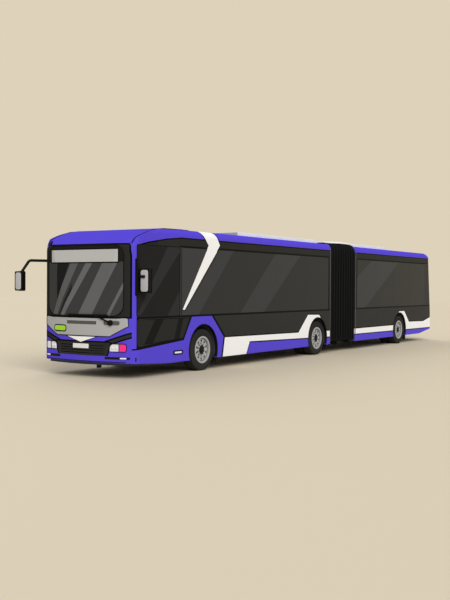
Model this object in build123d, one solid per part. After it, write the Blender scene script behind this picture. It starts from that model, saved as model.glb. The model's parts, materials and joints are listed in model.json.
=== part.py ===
"""An articulated low-floor city bus, in millimetres.

+X points forward, +Y to the bus's left and +Z up. The origin lies on the ground, in the
middle of the box round the whole bus, mirrors included. Every node is written to its own
STEP file. The outer skin is one hull, cut into walls, roofs, nose and tail.
"""
import os
from math import cos, hypot, radians, sin

from build123d import *

# ---- Driving dimensions ------------------------------------------------------------------
BODY_LENGTH = 18100
BODY_WIDTH = 2550
ROOF_Z = 3203
SKIRT_Z = 270
FLOOR_Z = 340
FRONT_OVERHANG = 2775
FRONT_WHEELBASE = 5850
REAR_WHEELBASE = 6300
PIVOT_BEHIND_AXLE = 1695
BELLOWS_LENGTH = 1765
MIRROR_REACH = 380
MIRROR_SPAN = 3110

WALL = 60
GLASS = 10
FLOOR_THICKNESS = 60
RUN_GAP = 6
FIT_GAP = 0.06
SEAT_GAP = 0.3

# ---- Places along the bus ----------------------------------------------------------------
NOSE_X = (BODY_LENGTH - MIRROR_REACH) / 2
TAIL_X = NOSE_X - BODY_LENGTH
AXLE_1_X = NOSE_X - FRONT_OVERHANG
AXLE_2_X = AXLE_1_X - FRONT_WHEELBASE
AXLE_3_X = AXLE_2_X - REAR_WHEELBASE
PIVOT_X = AXLE_2_X - PIVOT_BEHIND_AXLE
FRONT_END_X = PIVOT_X + BELLOWS_LENGTH / 2
REAR_START_X = PIVOT_X - BELLOWS_LENGTH / 2
HALF = BODY_WIDTH / 2
INSIDE = HALF - WALL

# ---- Skin --------------------------------------------------------------------------------
SHOULDER_Z = 3040
SHOULDER_WIDTH = 155
NOSE_BOW = 150
NOSE_CORNER_X = 430
NOSE_CORNER_Y = 195
NOSE_RAKE_Z = 1150
NOSE_RAKE = 106
BROW_Z = 2823
DOME_LENGTH = 1750
DOME_MID = (1000, 3153)
BUMPER_Z = 340
BUMPER_RISE_LENGTH = 1400
TAIL_CORNER = 150
TAIL_CHAMFER = (1260, 420)
TAIL_WAIST = (150, 1231)
TAIL_TOP = (370, 3060)
TAIL_ROUND = 560
CROWN_R = 260
CROWN_Y = HALF - 475
CROWN_SWEEP = (1.2, 0.58)
PILLAR_X = NOSE_X - 230
CAP_X = NOSE_X - 1010

# ---- Windows and doors -------------------------------------------------------------------
WINDOW_Z = (1290, 2805)
WINDOW_PILLAR = 60
FRONT_WINDOWS_X = NOSE_X - 1850
FRONT_WINDOW_COUNT = 5
REAR_WINDOWS_X = REAR_START_X - 85
REAR_WINDOW_COUNT = 4
REAR_WINDOW_PITCH = (REAR_WINDOWS_X - TAIL_X - 712.5) / REAR_WINDOW_COUNT
DRIVER_WINDOW = (FRONT_WINDOWS_X + WINDOW_PILLAR / 2, NOSE_X - 315)
WINDSCREEN_WIDTH = BODY_WIDTH - 460
WINDSCREEN_Z = (1310, 2800)
WINDSCREEN_CORNER = 280
REAR_WINDOW_WIDTH = BODY_WIDTH - 650
REAR_WINDOW_Z = (1560, 2640)

DOOR_WIDTH = 1250
DOOR_TOP_Z = 2410
DOOR_THICKNESS = 45
DOOR_FRAME = 50
DOOR_MEETING_GAP = 14
DOOR_POST_R = 25
DOOR_POST_INSET = 31
DOOR_POST_SINK = 7
FRONT_DOOR_X = NOSE_X - 1085

# ---- Running gear ------------------------------------------------------------------------
TYRE_R = 480
TYRE_WIDTH = 276
BEAD_R = 290
BEAD_INSET = 30
RIM_BARREL = 18
TYRE_SIDE_GAP = 20
TWIN_SPACING = 321
ARCH_R = 580
WHEEL_BOX_WALL = 40
WHEEL_Y = HALF - TYRE_SIDE_GAP - TYRE_WIDTH / 2
FRONT_BOX_Y = WHEEL_Y - 517
TWIN_BOX_Y = WHEEL_Y - 757
KINGPIN_Y = WHEEL_Y - 172
KINGPIN_R = 24
SPINDLE_R = 45
TWIN_SPINDLE_R = 60
BEAM_DEPTH = 120
BEAM_LOW_Z = (165, 265)
BEAM_HIGH = 55
TIE_ROD_X = 230
TIE_ROD_Y = KINGPIN_Y
TIE_ROD_Z = 225

# ---- Joint between the sections ----------------------------------------------------------
PASSAGE_WIDTH = 1300
PASSAGE_TOP_Z = 2350
DISC_R = 820
TURNTABLE_R = 420
TURNTABLE_PIN_R = 120
TURNTABLE_LOW_Z = (150, 240)
BELLOWS_TOP_Z = 3250
BELLOWS_FOLDS = 10
BELLOWS_DEPTH = 110
BELLOWS_CORNER = 260
BELLOWS_CLOTH = 8


# ---- Small tools -------------------------------------------------------------------------
def block(x_pair, y_pair, z_pair):
    """A box between two corners."""
    pairs = [sorted(pair) for pair in (x_pair, y_pair, z_pair)]
    low = Vector(*(pair[0] for pair in pairs))
    high = Vector(*(pair[1] for pair in pairs))
    size = high - low
    return Pos(*((low + high) / 2)) * Box(size.X, size.Y, size.Z)


def rod(start, end, radius):
    """A round bar between two points."""
    start = Vector(*start)
    end = Vector(*end)
    plane = Plane(origin=start, z_dir=end - start)
    return extrude(plane * Circle(radius), (end - start).length)


def across(points, y_pair):
    """A side-view outline (X, Z) carried from one Y to another."""
    low, high = sorted(y_pair)
    outline = make_face(Polyline(*points, close=True))
    return extrude(Plane((0, high, 0), x_dir=(1, 0, 0), z_dir=(0, -1, 0)) * outline, high - low)


def along(points, x_pair):
    """A front-view outline (Y, Z) carried from one X to another."""
    low, high = sorted(x_pair)
    outline = make_face(Polyline(*points, close=True))
    return extrude(Plane((low, 0, 0), x_dir=(0, 1, 0), z_dir=(1, 0, 0)) * outline, high - low)


def both_sides(shape):
    """The shape and its mirror image across the bus's middle plane."""
    return [shape, mirror(shape, about=Plane.XZ)]


def join(shapes):
    """All shapes as one."""
    first, *others = shapes
    return first.fuse(*others).clean() if others else first


def solids_of(shapes):
    """Every solid of the shapes, in one list."""
    return [solid for shape in shapes for solid in shape.solids()]


def save(name, *shapes):
    """Write one node; it may hold several solids that stay apart."""
    solids = solids_of(shapes)
    shape = solids[0] if len(solids) == 1 else Compound(children=solids)
    shape.label = name
    export_step(shape, f"parts/{name}.step")


# ---- Hull --------------------------------------------------------------------------------
def crown_cutter(inset):
    """What rounds the hull's upper left front corner; it fades out towards the roof."""
    out, up = CROWN_SWEEP
    lead = 300
    radius = CROWN_R - inset
    y = CROWN_Y - out * lead
    z = BROW_Z - CROWN_R - up * lead
    far = 2 * HALF
    lines = [
        TangentArc((y + radius, z), (y, z + radius), tangent=(0, 1)),
        Polyline((y, z + radius), (y, z + far), (y + far, z + far), (y + far, z), (y + radius, z)),
    ]
    x = NOSE_X - NOSE_RAKE - inset + lead
    plane = Plane((x, 0, 0), x_dir=(0, 1, 0), z_dir=(1, 0, 0))
    return extrude(plane * make_face(lines), lead + 1200, dir=(-1, out, up))


def hull(inset=0.0):
    """The bus's closed outline, moved inwards by the inset; below the skirt if inset."""
    half = HALF - inset
    nose = NOSE_X - inset
    tail = TAIL_X + inset
    roof = ROOF_Z - inset
    bottom = SKIRT_Z if inset == 0 else -SKIRT_Z
    bumper = BUMPER_Z if inset == 0 else bottom
    chamfer_z = TAIL_CHAMFER[1] if inset == 0 else bottom

    corner_start = nose - NOSE_CORNER_X
    corner_end = (nose - NOSE_BOW, half - NOSE_CORNER_Y)
    plan_lines = [
        Line((tail + TAIL_CORNER, -half), (corner_start, -half)),
        TangentArc((corner_start, -half), (corner_end[0], -corner_end[1]), tangent=(1, 0)),
        ThreePointArc((corner_end[0], -corner_end[1]), (nose, 0), corner_end),
        TangentArc((corner_start, half), corner_end, tangent=(1, 0)),
        Line((corner_start, half), (tail + TAIL_CORNER, half)),
        TangentArc((tail + TAIL_CORNER, half), (tail, half - TAIL_CORNER), tangent=(-1, 0)),
        Line((tail, half - TAIL_CORNER), (tail, TAIL_CORNER - half)),
        TangentArc((tail + TAIL_CORNER, -half), (tail, TAIL_CORNER - half), tangent=(-1, 0)),
    ]
    plan = extrude(Pos(0, 0, bottom) * make_face(plan_lines), roof - bottom)

    brow = (nose - NOSE_RAKE, BROW_Z - inset)
    dome_end = (nose - DOME_LENGTH, roof)
    side_lines = [
        ThreePointArc(brow, (nose - DOME_MID[0], DOME_MID[1] - inset), dome_end),
        Polyline(
            dome_end,
            (tail + TAIL_ROUND, roof),
            (tail + TAIL_TOP[0], TAIL_TOP[1] - inset),
            (tail + TAIL_WAIST[0], TAIL_WAIST[1]),
            (tail, chamfer_z),
            (tail + TAIL_CHAMFER[0], bottom),
            (nose - BUMPER_RISE_LENGTH, bottom),
            (nose, bumper),
            (nose, NOSE_RAKE_Z),
            brow,
        ),
    ]
    side_plane = Plane((0, half, 0), x_dir=(1, 0, 0), z_dir=(0, -1, 0))
    side = extrude(side_plane * make_face(side_lines), 2 * half)

    shoulder = (half - SHOULDER_WIDTH, roof)
    section_lines = [
        Polyline((-half, SHOULDER_Z), (-half, bottom), (half, bottom), (half, SHOULDER_Z)),
        TangentArc((half, SHOULDER_Z), shoulder, tangent=(0, 1)),
        Line(shoulder, (-shoulder[0], roof)),
        TangentArc((-half, SHOULDER_Z), (-shoulder[0], roof), tangent=(0, 1)),
    ]
    section_plane = Plane((tail, 0, 0), x_dir=(0, 1, 0), z_dir=(1, 0, 0))
    section = extrude(section_plane * make_face(section_lines), nose - tail)
    crown = join([crown_cutter(inset), mirror(crown_cutter(inset), about=Plane.XZ)])
    return (plan & side & section) - crown


OUTER = hull()
INNER = hull(WALL)
SKIN = OUTER - INNER
PANE_SKIN = OUTER - hull(GLASS)
EVERY_X = (TAIL_X - 1000, NOSE_X + 1000)
EVERY_Y = (-2 * BODY_WIDTH, 2 * BODY_WIDTH)
EVERY_Z = (-1000, 5000)


def window_box(x_pair, z_pair, side):
    """A cutter through one side wall; side is 1 on the left and -1 on the right."""
    return block(x_pair, (side * (INSIDE - 100), side * (HALF + 100)), z_pair)


def pane(x_pair, z_pair, side):
    """A flush pane of glass in one side wall."""
    return block(x_pair, (side * (HALF - GLASS), side * HALF), z_pair)


def rounded_window(width, z_pair, corner, x_pair):
    """A cutter along X with rounded corners."""
    height = z_pair[1] - z_pair[0]
    plane = Plane((min(x_pair), 0, sum(z_pair) / 2), x_dir=(0, 1, 0), z_dir=(1, 0, 0))
    outline = plane * RectangleRounded(width, height, corner)
    return extrude(outline, max(x_pair) - min(x_pair))


# ---- Side walls with their windows -------------------------------------------------------
def window_row(start_x, end_x, count):
    """Window spans from front to back between two places, with a pillar between them."""
    pitch = (start_x - end_x) / count
    gap = WINDOW_PILLAR / 2
    return [(start_x - i * pitch - pitch + gap, start_x - i * pitch - gap) for i in range(count)]


FRONT_WINDOWS = window_row(FRONT_WINDOWS_X, FRONT_END_X + 100, FRONT_WINDOW_COUNT)
REAR_WINDOWS = window_row(
    REAR_WINDOWS_X, REAR_WINDOWS_X - REAR_WINDOW_COUNT * REAR_WINDOW_PITCH, REAR_WINDOW_COUNT
)
MIDDLE_DOOR_X = sum(FRONT_WINDOWS[2]) / 2
REAR_DOOR_X = sum(REAR_WINDOWS[1]) / 2
LOW_WINDOW = [
    (NOSE_X - 320, 700),
    (AXLE_1_X + 815, 790),
    (AXLE_1_X + 500 + 60, 1235),
    (NOSE_X - 320, 1235),
]


def arch_cutter(axle_x):
    """The round wheel arch through both walls."""
    return rod((axle_x, -2 * HALF, TYRE_R), (axle_x, 2 * HALF, TYRE_R), ARCH_R)


def door_cutter(door_x):
    """The doorway through the right wall."""
    x_pair = (door_x - DOOR_WIDTH / 2, door_x + DOOR_WIDTH / 2)
    return window_box(x_pair, (FLOOR_Z, DOOR_TOP_Z), -1)


CAP = join([
    block((CAP_X, NOSE_X + 500), EVERY_Y, (WINDOW_Z[1] + 15, 2 * ROOF_Z)),
    block((CAP_X, NOSE_X + 500), (225 - HALF, HALF - 225), (WINDOW_Z[1] - 200, 2 * ROOF_Z)),
])
FRONT_BAND = block((FRONT_END_X, PILLAR_X), EVERY_Y, (0, SHOULDER_Z)) - CAP
REAR_BAND_X = TAIL_X + 640
REAR_BAND = block((REAR_BAND_X, REAR_START_X), EVERY_Y, (0, SHOULDER_Z))


def wall(band, side, windows, axles, doors):
    """One side wall, with window, arch and door openings."""
    half_space = block(EVERY_X, (0, side * 2 * BODY_WIDTH), EVERY_Z)
    cutters = [window_box(x_pair, WINDOW_Z, side) for x_pair in windows]
    cutters += [arch_cutter(axle_x) for axle_x in axles]
    cutters += [door_cutter(door_x) for door_x in doors]
    return (SKIN & band & half_space).cut(*cutters)


def make_walls():
    """Both sections' side walls and their glass."""
    left_windows = [DRIVER_WINDOW] + FRONT_WINDOWS
    right_windows = FRONT_WINDOWS[:2] + FRONT_WINDOWS[3:]
    rear_right = REAR_WINDOWS[:1] + REAR_WINDOWS[2:]
    low_cut = across(LOW_WINDOW, (INSIDE - 200, HALF + 100))
    front_axles = (AXLE_1_X, AXLE_2_X)

    front_left = wall(FRONT_BAND, 1, left_windows, front_axles, ()) - low_cut
    save("front_left_wall", front_left)
    doors = (FRONT_DOOR_X, MIDDLE_DOOR_X)
    save("front_right_wall", wall(FRONT_BAND, -1, right_windows, front_axles, doors))
    save("rear_left_wall", wall(REAR_BAND, 1, REAR_WINDOWS, (AXLE_3_X,), ()))
    save("rear_right_wall", wall(REAR_BAND, -1, rear_right, (AXLE_3_X,), (REAR_DOOR_X,)))

    driver_box = window_box(DRIVER_WINDOW, WINDOW_Z, 1)
    front_panes = [PANE_SKIN & driver_box, PANE_SKIN & low_cut]
    front_panes += [pane(x_pair, WINDOW_Z, 1) for x_pair in FRONT_WINDOWS]
    front_panes += [pane(x_pair, WINDOW_Z, -1) for x_pair in right_windows]
    save("front_side_glass", *front_panes)
    rear_panes = [pane(x_pair, WINDOW_Z, 1) for x_pair in REAR_WINDOWS]
    rear_panes += [pane(x_pair, WINDOW_Z, -1) for x_pair in rear_right]
    rear_cut = rounded_window(REAR_WINDOW_WIDTH, REAR_WINDOW_Z, 60, (TAIL_X - 100, TAIL_X + 800))
    rear_panes.append(PANE_SKIN & rear_cut)
    save("rear_glass", *rear_panes)


# ---- Roofs and what stands on them -------------------------------------------------------
ROOF_UNIT_WIDTH = 1900
ROOF_UNIT_TOP_Z = 3300
FRONT_UNIT = (FRONT_END_X + 250, NOSE_X - 3940)
FAIRING_LENGTH = 780
FAIRING_NOSE_Z = 3239
REAR_UNIT = (AXLE_3_X + 485, REAR_START_X - 40)


def make_roofs():
    """Both roofs and their low equipment housings."""
    front = SKIN & block((FRONT_END_X, CAP_X), EVERY_Y, (SHOULDER_Z, 5000))
    save("front_roof", front)
    rear = SKIN & block((REAR_BAND_X, REAR_START_X), EVERY_Y, (SHOULDER_Z, 5000))
    save("rear_roof", rear)

    back, nose = FRONT_UNIT
    half = ROOF_UNIT_WIDTH / 2
    outline = [
        (back, ROOF_Z),
        (nose, ROOF_Z),
        (nose, FAIRING_NOSE_Z),
        (nose - FAIRING_LENGTH, ROOF_UNIT_TOP_Z),
        (back, ROOF_UNIT_TOP_Z),
    ]
    save("front_roof_unit", across(outline, (-half, half)))
    back, nose = REAR_UNIT
    save("rear_roof_unit", block((back, nose), (-half, half), (ROOF_Z, ROOF_UNIT_TOP_Z)))


# ---- Nose --------------------------------------------------------------------------------
NOSE_PANEL = [(HALF - 135, 1270), (HALF - 128, 1100), (HALF - 540, 882)]
NOSE_SLOT_WIDTH = 820
NOSE_SLOT_Z = (1130, 1200)
GRILLE_HALF = HALF - 615
GRILLE_Z = (475, 740)
GRILLE_SLOTS = 4
GRILLE_SLOT = 16
LAMP = [
    (HALF - 542, 570), (HALF - 542, 655), (HALF - 520, 705), (HALF - 475, 735), (HALF - 200, 735),
    (HALF - 173, 722), (HALF - 165, 690), (HALF - 165, 615), (HALF - 173, 583), (HALF - 200, 570),
]
DISPLAY_WIDTH = BODY_WIDTH - 650
DISPLAY_Z = (2430, 2700)
DISPLAY_DEPTH = 120
WIPER_BLADE = (-364, 699)
WIPER_Z = 1330
WIPER_POD = (760, 1170)
WIPER_POD_R = 60
WIPER_STAND = 30


def front_slice(points):
    """An outline (Y, Z) carried through the nose skin."""
    return along(points, (PILLAR_X - 300, NOSE_X + 200))


def make_nose():
    """The front shell with windscreen, lower panel, grille, lamps and wiper."""
    ahead = block((PILLAR_X, NOSE_X + 100), EVERY_Y, EVERY_Z)
    shell = SKIN & (ahead + CAP)
    through = (PILLAR_X - 300, NOSE_X + 200)
    screen_cut = rounded_window(WINDSCREEN_WIDTH, WINDSCREEN_Z, WINDSCREEN_CORNER, through)
    windscreen = PANE_SKIN & screen_cut & ahead

    mirrored = [(-y, z) for y, z in reversed(NOSE_PANEL)]
    panel_cut = front_slice(NOSE_PANEL + mirrored)
    grille_cut = block(through, (-GRILLE_HALF, GRILLE_HALF), GRILLE_Z)
    lamp_cuts = both_sides(front_slice(LAMP))
    panel = shell & panel_cut & ahead
    slot_half = NOSE_SLOT_WIDTH / 2
    panel = panel - block(through, (-slot_half, slot_half), NOSE_SLOT_Z)
    grille = shell & grille_cut & ahead
    pitch = (GRILLE_Z[1] - GRILLE_Z[0]) / (GRILLE_SLOTS + 1)
    for i in range(GRILLE_SLOTS):
        z = GRILLE_Z[0] + (i + 1) * pitch
        y_pair = (-GRILLE_HALF + 60, GRILLE_HALF - 60)
        grille = grille - block(through, y_pair, (z - GRILLE_SLOT / 2, z + GRILLE_SLOT / 2))
    lamps = [shell & lamp_cut & ahead for lamp_cut in lamp_cuts]
    shell = shell.cut(screen_cut & ahead, panel_cut & ahead, grille_cut, *lamp_cuts)

    header_z = WINDSCREEN_Z[1] + 20
    display_x = NOSE_X - 420
    half = DISPLAY_WIDTH / 2
    display = block((display_x, display_x + DISPLAY_DEPTH), (-half, half), DISPLAY_Z)
    hangers = [
        block((display_x, display_x + 40), (y - 30, y + 30), (DISPLAY_Z[1], header_z + 120))
        for y in (-600, 600)
    ]
    box = (join([display] + hangers) & INNER)
    save("nose_shell", join([shell, box]))
    save("windscreen", windscreen)
    save("nose_panel", panel)
    save("nose_grille", grille)
    save("headlamps", *lamps)

    layer = hull(-WIPER_STAND) - hull(-SEAT_GAP)
    blade = block(through, WIPER_BLADE, (WIPER_Z - 12, WIPER_Z + 12))
    pod = rod((through[0], *WIPER_POD), (through[1], *WIPER_POD), WIPER_POD_R)
    arm_start = (WIPER_POD[0], WIPER_POD[1])
    arm_end = (sum(WIPER_BLADE) / 2 + 200, WIPER_Z)
    arm = front_slice([
        (arm_start[0], arm_start[1] - 14),
        (arm_start[0], arm_start[1] + 14),
        (arm_end[0], arm_end[1] + 10),
        (arm_end[0], arm_end[1] - 10),
    ])
    save("wiper", join([layer & blade & ahead, layer & pod & ahead, layer & arm & ahead]))


# ---- Tail --------------------------------------------------------------------------------
LID_WIDTH = BODY_WIDTH - 850
LID_Z = (520, 1180)
LID_SWING_GAP = 10
LID_HINGE_R = 10
LID_PIN_R = 5
TAIL_LAMP_Y = (HALF - 265, HALF - 145)
TAIL_LAMP_Z = (880, 1230)


def tail_surface_x(z):
    """X of the tail's outer face at a height, between chamfer and waist."""
    share = (z - TAIL_CHAMFER[1]) / (TAIL_WAIST[1] - TAIL_CHAMFER[1])
    return TAIL_X + share * TAIL_WAIST[0]


def make_tail():
    """The rear shell with its window opening, lamps and engine lid."""
    zone = block((TAIL_X - 100, REAR_BAND_X), EVERY_Y, EVERY_Z)
    through = (TAIL_X - 100, TAIL_X + 400)
    shell = SKIN & zone
    glass_cut = rounded_window(REAR_WINDOW_WIDTH, REAR_WINDOW_Z, 60, (TAIL_X - 100, TAIL_X + 800))
    half = LID_WIDTH / 2
    lid_cut = block(through, (-half, half), LID_Z)
    lamp_cuts = both_sides(block(through, TAIL_LAMP_Y, TAIL_LAMP_Z))
    lamps = [shell & lamp_cut for lamp_cut in lamp_cuts]
    lid_half = half - RUN_GAP
    lid_z = (LID_Z[0] + LID_SWING_GAP, LID_Z[1] - RUN_GAP)
    lid_space = block(through, (-lid_half, lid_half), lid_z)
    lid = shell & lid_space
    shell = shell.cut(glass_cut, lid_cut, *lamp_cuts)

    hinge_z = LID_Z[1] - RUN_GAP - LID_HINGE_R
    hinge_x = tail_surface_x(hinge_z)

    def bar(y, reach, radius):
        """A round bar on the lid's hinge line."""
        return rod((hinge_x, y - reach, hinge_z), (hinge_x, y + reach, hinge_z), radius)

    mounts = []
    relief = 2 * LID_HINGE_R + 2
    for y in (-half * 0.6, half * 0.6):
        lid = lid + bar(y, 40, LID_HINGE_R)
        for end in (-1, 1):
            ear_y = (y + end * 46, y + end * 75)
            ear_x = (hinge_x - LID_HINGE_R, hinge_x + LID_HINGE_R)
            mounts.append(block(ear_x, ear_y, (hinge_z - LID_HINGE_R, LID_Z[1] + 20)))
            gap_y = (y + end * 40, y + end * 81)
            gap_x = (hinge_x - relief, hinge_x + relief)
            lid = lid - block(gap_x, gap_y, (hinge_z - relief, LID_Z[1]))
        lid = lid - bar(y, 50, LID_PIN_R + FIT_GAP)
        mounts.append(bar(y, 75, LID_PIN_R))
    save("tail_shell", join([shell] + mounts))
    save("engine_lid", lid)
    save("tail_lamps", *lamps)


# ---- Floors ------------------------------------------------------------------------------
SPRING_Y = WHEEL_Y - 317
TWIN_SPRING_Y = WHEEL_Y - 592
SPRING_R = 75
SPRING_TOP_Z = 760
ENGINE_DECK_Z = 900
ENGINE_DECK_X = AXLE_3_X - ARCH_R - WHEEL_BOX_WALL - 20
UNDERFLOOR_Z = FLOOR_Z - FLOOR_THICKNESS
JACK_PAD = 120
JACK_PAD_THICK = 15
JACK_PAD_Y = HALF - 275
FRONT_JACK_X = AXLE_1_X - 900
REAR_JACK_X = AXLE_3_X + 900
TOW_X = NOSE_X - 600
TOW_LUG_WIDTH = 40
TOW_BORE_Z = 215
TOW_BORE_R = 21


def wheel_box(axle_x, inner_y, spring_y):
    """A wheel's housing on the floor, open below and to the outside, on the left."""
    outside = rod((axle_x, inner_y, TYRE_R), (axle_x, INSIDE, TYRE_R), ARCH_R + WHEEL_BOX_WALL)
    inside = rod(
        (axle_x, inner_y + 30, TYRE_R), (axle_x, INSIDE + 10, TYRE_R), ARCH_R
    )
    above = block(EVERY_X, EVERY_Y, (FLOOR_Z + SEAT_GAP, 5000))
    tower = block(
        (axle_x - SPRING_R, axle_x + SPRING_R),
        (spring_y - SPRING_R, spring_y + SPRING_R),
        (SPRING_TOP_Z, TYRE_R + ARCH_R + WHEEL_BOX_WALL / 2),
    )
    return ((outside - inside) & above) + tower


def floor_plates(x_pair, boxes):
    """A floor's plates from back to front, narrow where they pass between the wheels."""
    start, end = x_pair
    slab = (UNDERFLOOR_Z, FLOOR_Z)
    plates = []
    for axle_x, inner_y, _ in sorted(boxes):
        wheel_back, wheel_front = axle_x - ARCH_R, axle_x + ARCH_R
        between = (wheel_back + SEAT_GAP, wheel_front - SEAT_GAP)
        plates.append(block((start, wheel_back), (-INSIDE, INSIDE), slab))
        plates.append(block(between, (-inner_y - 30, inner_y + 30), slab))
        start = wheel_front
    plates.append(block((start, end), (-INSIDE, INSIDE), slab) & INNER)
    return plates


def wheel_boxes(boxes):
    """The left and right wheel boxes from a table."""
    return [box for row in boxes for box in both_sides(wheel_box(*row))]


def under_pads(x):
    """Jacking pads under the floor, left and right."""
    pad = block((x - JACK_PAD / 2, x + JACK_PAD / 2),
                (JACK_PAD_Y - JACK_PAD / 2, JACK_PAD_Y + JACK_PAD / 2),
                (UNDERFLOOR_Z - JACK_PAD_THICK, UNDERFLOOR_Z - SEAT_GAP))
    return both_sides(pad)


def tow_lug(x):
    """The towing lug under the floor, with its cross bore."""
    z_pair = (160, UNDERFLOOR_Z - SEAT_GAP)
    lug = block((x - 60, x + 60), (-TOW_LUG_WIDTH / 2, TOW_LUG_WIDTH / 2), z_pair)
    return lug - rod((x, -TOW_LUG_WIDTH, TOW_BORE_Z), (x, TOW_LUG_WIDTH, TOW_BORE_Z), TOW_BORE_R)


def make_floors():
    """Both floors; the rear one steps up over the engine."""
    # axle's X, inner wall of its wheel box, its spring
    front_boxes = [
        (AXLE_1_X, FRONT_BOX_Y, SPRING_Y),
        (AXLE_2_X, TWIN_BOX_Y, TWIN_SPRING_Y),
    ]
    rear_boxes = [(AXLE_3_X, TWIN_BOX_Y, TWIN_SPRING_Y)]

    front = floor_plates((FRONT_END_X + WALL, NOSE_X), front_boxes)
    front += wheel_boxes(front_boxes) + under_pads(FRONT_JACK_X) + [tow_lug(TOW_X)]
    save("front_floor", *front)

    inside = (-INSIDE, INSIDE)
    riser = block((ENGINE_DECK_X - 40, ENGINE_DECK_X), inside, (UNDERFLOOR_Z, ENGINE_DECK_Z))
    deck = block((TAIL_X, ENGINE_DECK_X), inside, (ENGINE_DECK_Z - 40, ENGINE_DECK_Z)) & INNER
    rear = floor_plates((ENGINE_DECK_X + SEAT_GAP, REAR_START_X - WALL), rear_boxes)
    rear += wheel_boxes(rear_boxes) + under_pads(REAR_JACK_X) + [join([riser, deck])]
    save("rear_floor", *rear)


# ---- Joint between the sections ----------------------------------------------------------
def portal(x_pair):
    """The ring frame that ends a section, with the passage through it."""
    half = PASSAGE_WIDTH / 2
    frame = block(x_pair, (-INSIDE, INSIDE), (UNDERFLOOR_Z, ROOF_Z)) & INNER
    opening = rounded_window(PASSAGE_WIDTH, (FLOOR_Z, PASSAGE_TOP_Z), 120, EVERY_X)
    square = block(EVERY_X, (-half, half), (FLOOR_Z, FLOOR_Z + 200))
    beam = block(x_pair, (-half, half), (TURNTABLE_LOW_Z[0], FLOOR_Z))
    return join([frame - opening - square, beam])


def make_joint():
    """Turntable, walkway disc and portals of both sections."""
    half = PASSAGE_WIDTH / 2
    arm = TURNTABLE_R * 0.7
    low_z = TURNTABLE_LOW_Z
    top_z = (low_z[1] + RUN_GAP, UNDERFLOOR_Z + 30)
    slab = (FLOOR_Z - 30, FLOOR_Z)
    centre = (PIVOT_X, 0)

    front_end = FRONT_END_X + WALL
    ring = rod((*centre, low_z[0]), (*centre, low_z[1]), TURNTABLE_R)
    front_arm = block((PIVOT_X, FRONT_END_X + WALL / 2), (-arm, arm), low_z)
    bore = rod((*centre, low_z[0] - 10), (*centre, low_z[1] + 10), TURNTABLE_PIN_R + FIT_GAP)
    sill = block((PIVOT_X, FRONT_END_X), (-half, half), slab)
    sill = sill - rod((*centre, 0), (*centre, FLOOR_Z + 10), DISC_R + RUN_GAP + 2)
    front = join([portal((FRONT_END_X, front_end)), ring, front_arm]) - bore
    save("front_portal", join([front, sill]))

    rear_end = REAR_START_X - WALL
    rear_ring = rod((*centre, top_z[0]), (*centre, slab[0]), TURNTABLE_R)
    pin = rod((*centre, low_z[0]), (*centre, slab[0]), TURNTABLE_PIN_R)
    rear_arm = block((REAR_START_X - WALL / 2, PIVOT_X), (-arm, arm), (top_z[0], UNDERFLOOR_Z))
    disc = rod((*centre, slab[0]), (*centre, slab[1]), DISC_R)
    rear_sill = block((REAR_START_X, PIVOT_X), (-half, half), slab)
    trim = block((PIVOT_X, PIVOT_X + 2 * DISC_R), EVERY_Y, slab)
    rear_sill = rear_sill - trim
    pieces = [portal((rear_end, REAR_START_X)), rear_ring, pin, rear_arm, disc, rear_sill]
    save("rear_portal", join(pieces))


def bellows_section(x, inset):
    """The bellows' outline at one X, moved inwards by the inset."""
    half = HALF - inset
    top = BELLOWS_TOP_Z - inset
    radius = BELLOWS_CORNER - inset
    corner = [(half - radius + radius * cos(radians(turn)), top - radius + radius * sin(radians(turn)))
              for turn in (0, 30, 60, 90)]
    right = [(half, SKIRT_Z - 400)] + corner
    left = [(-y, z) for y, z in reversed(right)]
    plane = Plane((x, 0, 0), x_dir=(0, 1, 0), z_dir=(1, 0, 0))
    return plane * make_face(Polyline(*right, *left, close=True))


def pleated(inset):
    """A closed concertina body whose folds go in and out along X."""
    pitch = BELLOWS_LENGTH / BELLOWS_FOLDS
    pieces = []
    for i in range(BELLOWS_FOLDS):
        start = REAR_START_X + i * pitch
        stations = ((start, inset + BELLOWS_DEPTH), (start + pitch / 2, inset),
                    (start + pitch, inset + BELLOWS_DEPTH))
        faces = [bellows_section(x, depth) for x, depth in stations]
        pieces.append(loft(faces[:2], ruled=True))
        pieces.append(loft(faces[1:], ruled=True))
    return join(pieces)


def make_bellows():
    """The folded gaiter, open at the bottom."""
    body = pleated(0) - pleated(BELLOWS_CLOTH)
    keep = block(EVERY_X, EVERY_Y, (BUMPER_Z - 20, 5000))
    save("bellows", body & keep)


# ---- Running gear ------------------------------------------------------------------------
def spun(points, y_start, axle_x):
    """A turned piece round an axle; points are (distance along +Y, radius)."""
    outline = make_face(Polyline(*points, close=True))
    turned = revolve(outline, Axis.X, 360)
    plane = Plane((axle_x, y_start, TYRE_R), x_dir=(0, 1, 0), z_dir=(1, 0, 0))
    return plane * turned


def tyre(axle_x, centre_y):
    """One tyre, with flat tread, shoulders and slanted side walls."""
    half = TYRE_WIDTH / 2
    bead = half - BEAD_INSET
    points = [
        (-bead, BEAD_R), (bead, BEAD_R), (half, BEAD_R + 95), (half - 22, TYRE_R - 4),
        (half - 50, TYRE_R), (-half + 50, TYRE_R), (-half + 22, TYRE_R - 4), (-half, BEAD_R + 95),
    ]
    return spun(points, centre_y, axle_x)


RIM_FACE_IN = 55
RIM_DISC = 14
RIM_LIP = 22
RIM_HOLES = 10
RIM_HOLE_R = 22
RIM_HOLE_PCR = 205
HUB_R = 105
HUB_LENGTH = 84
HUB_CAP = 22


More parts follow.
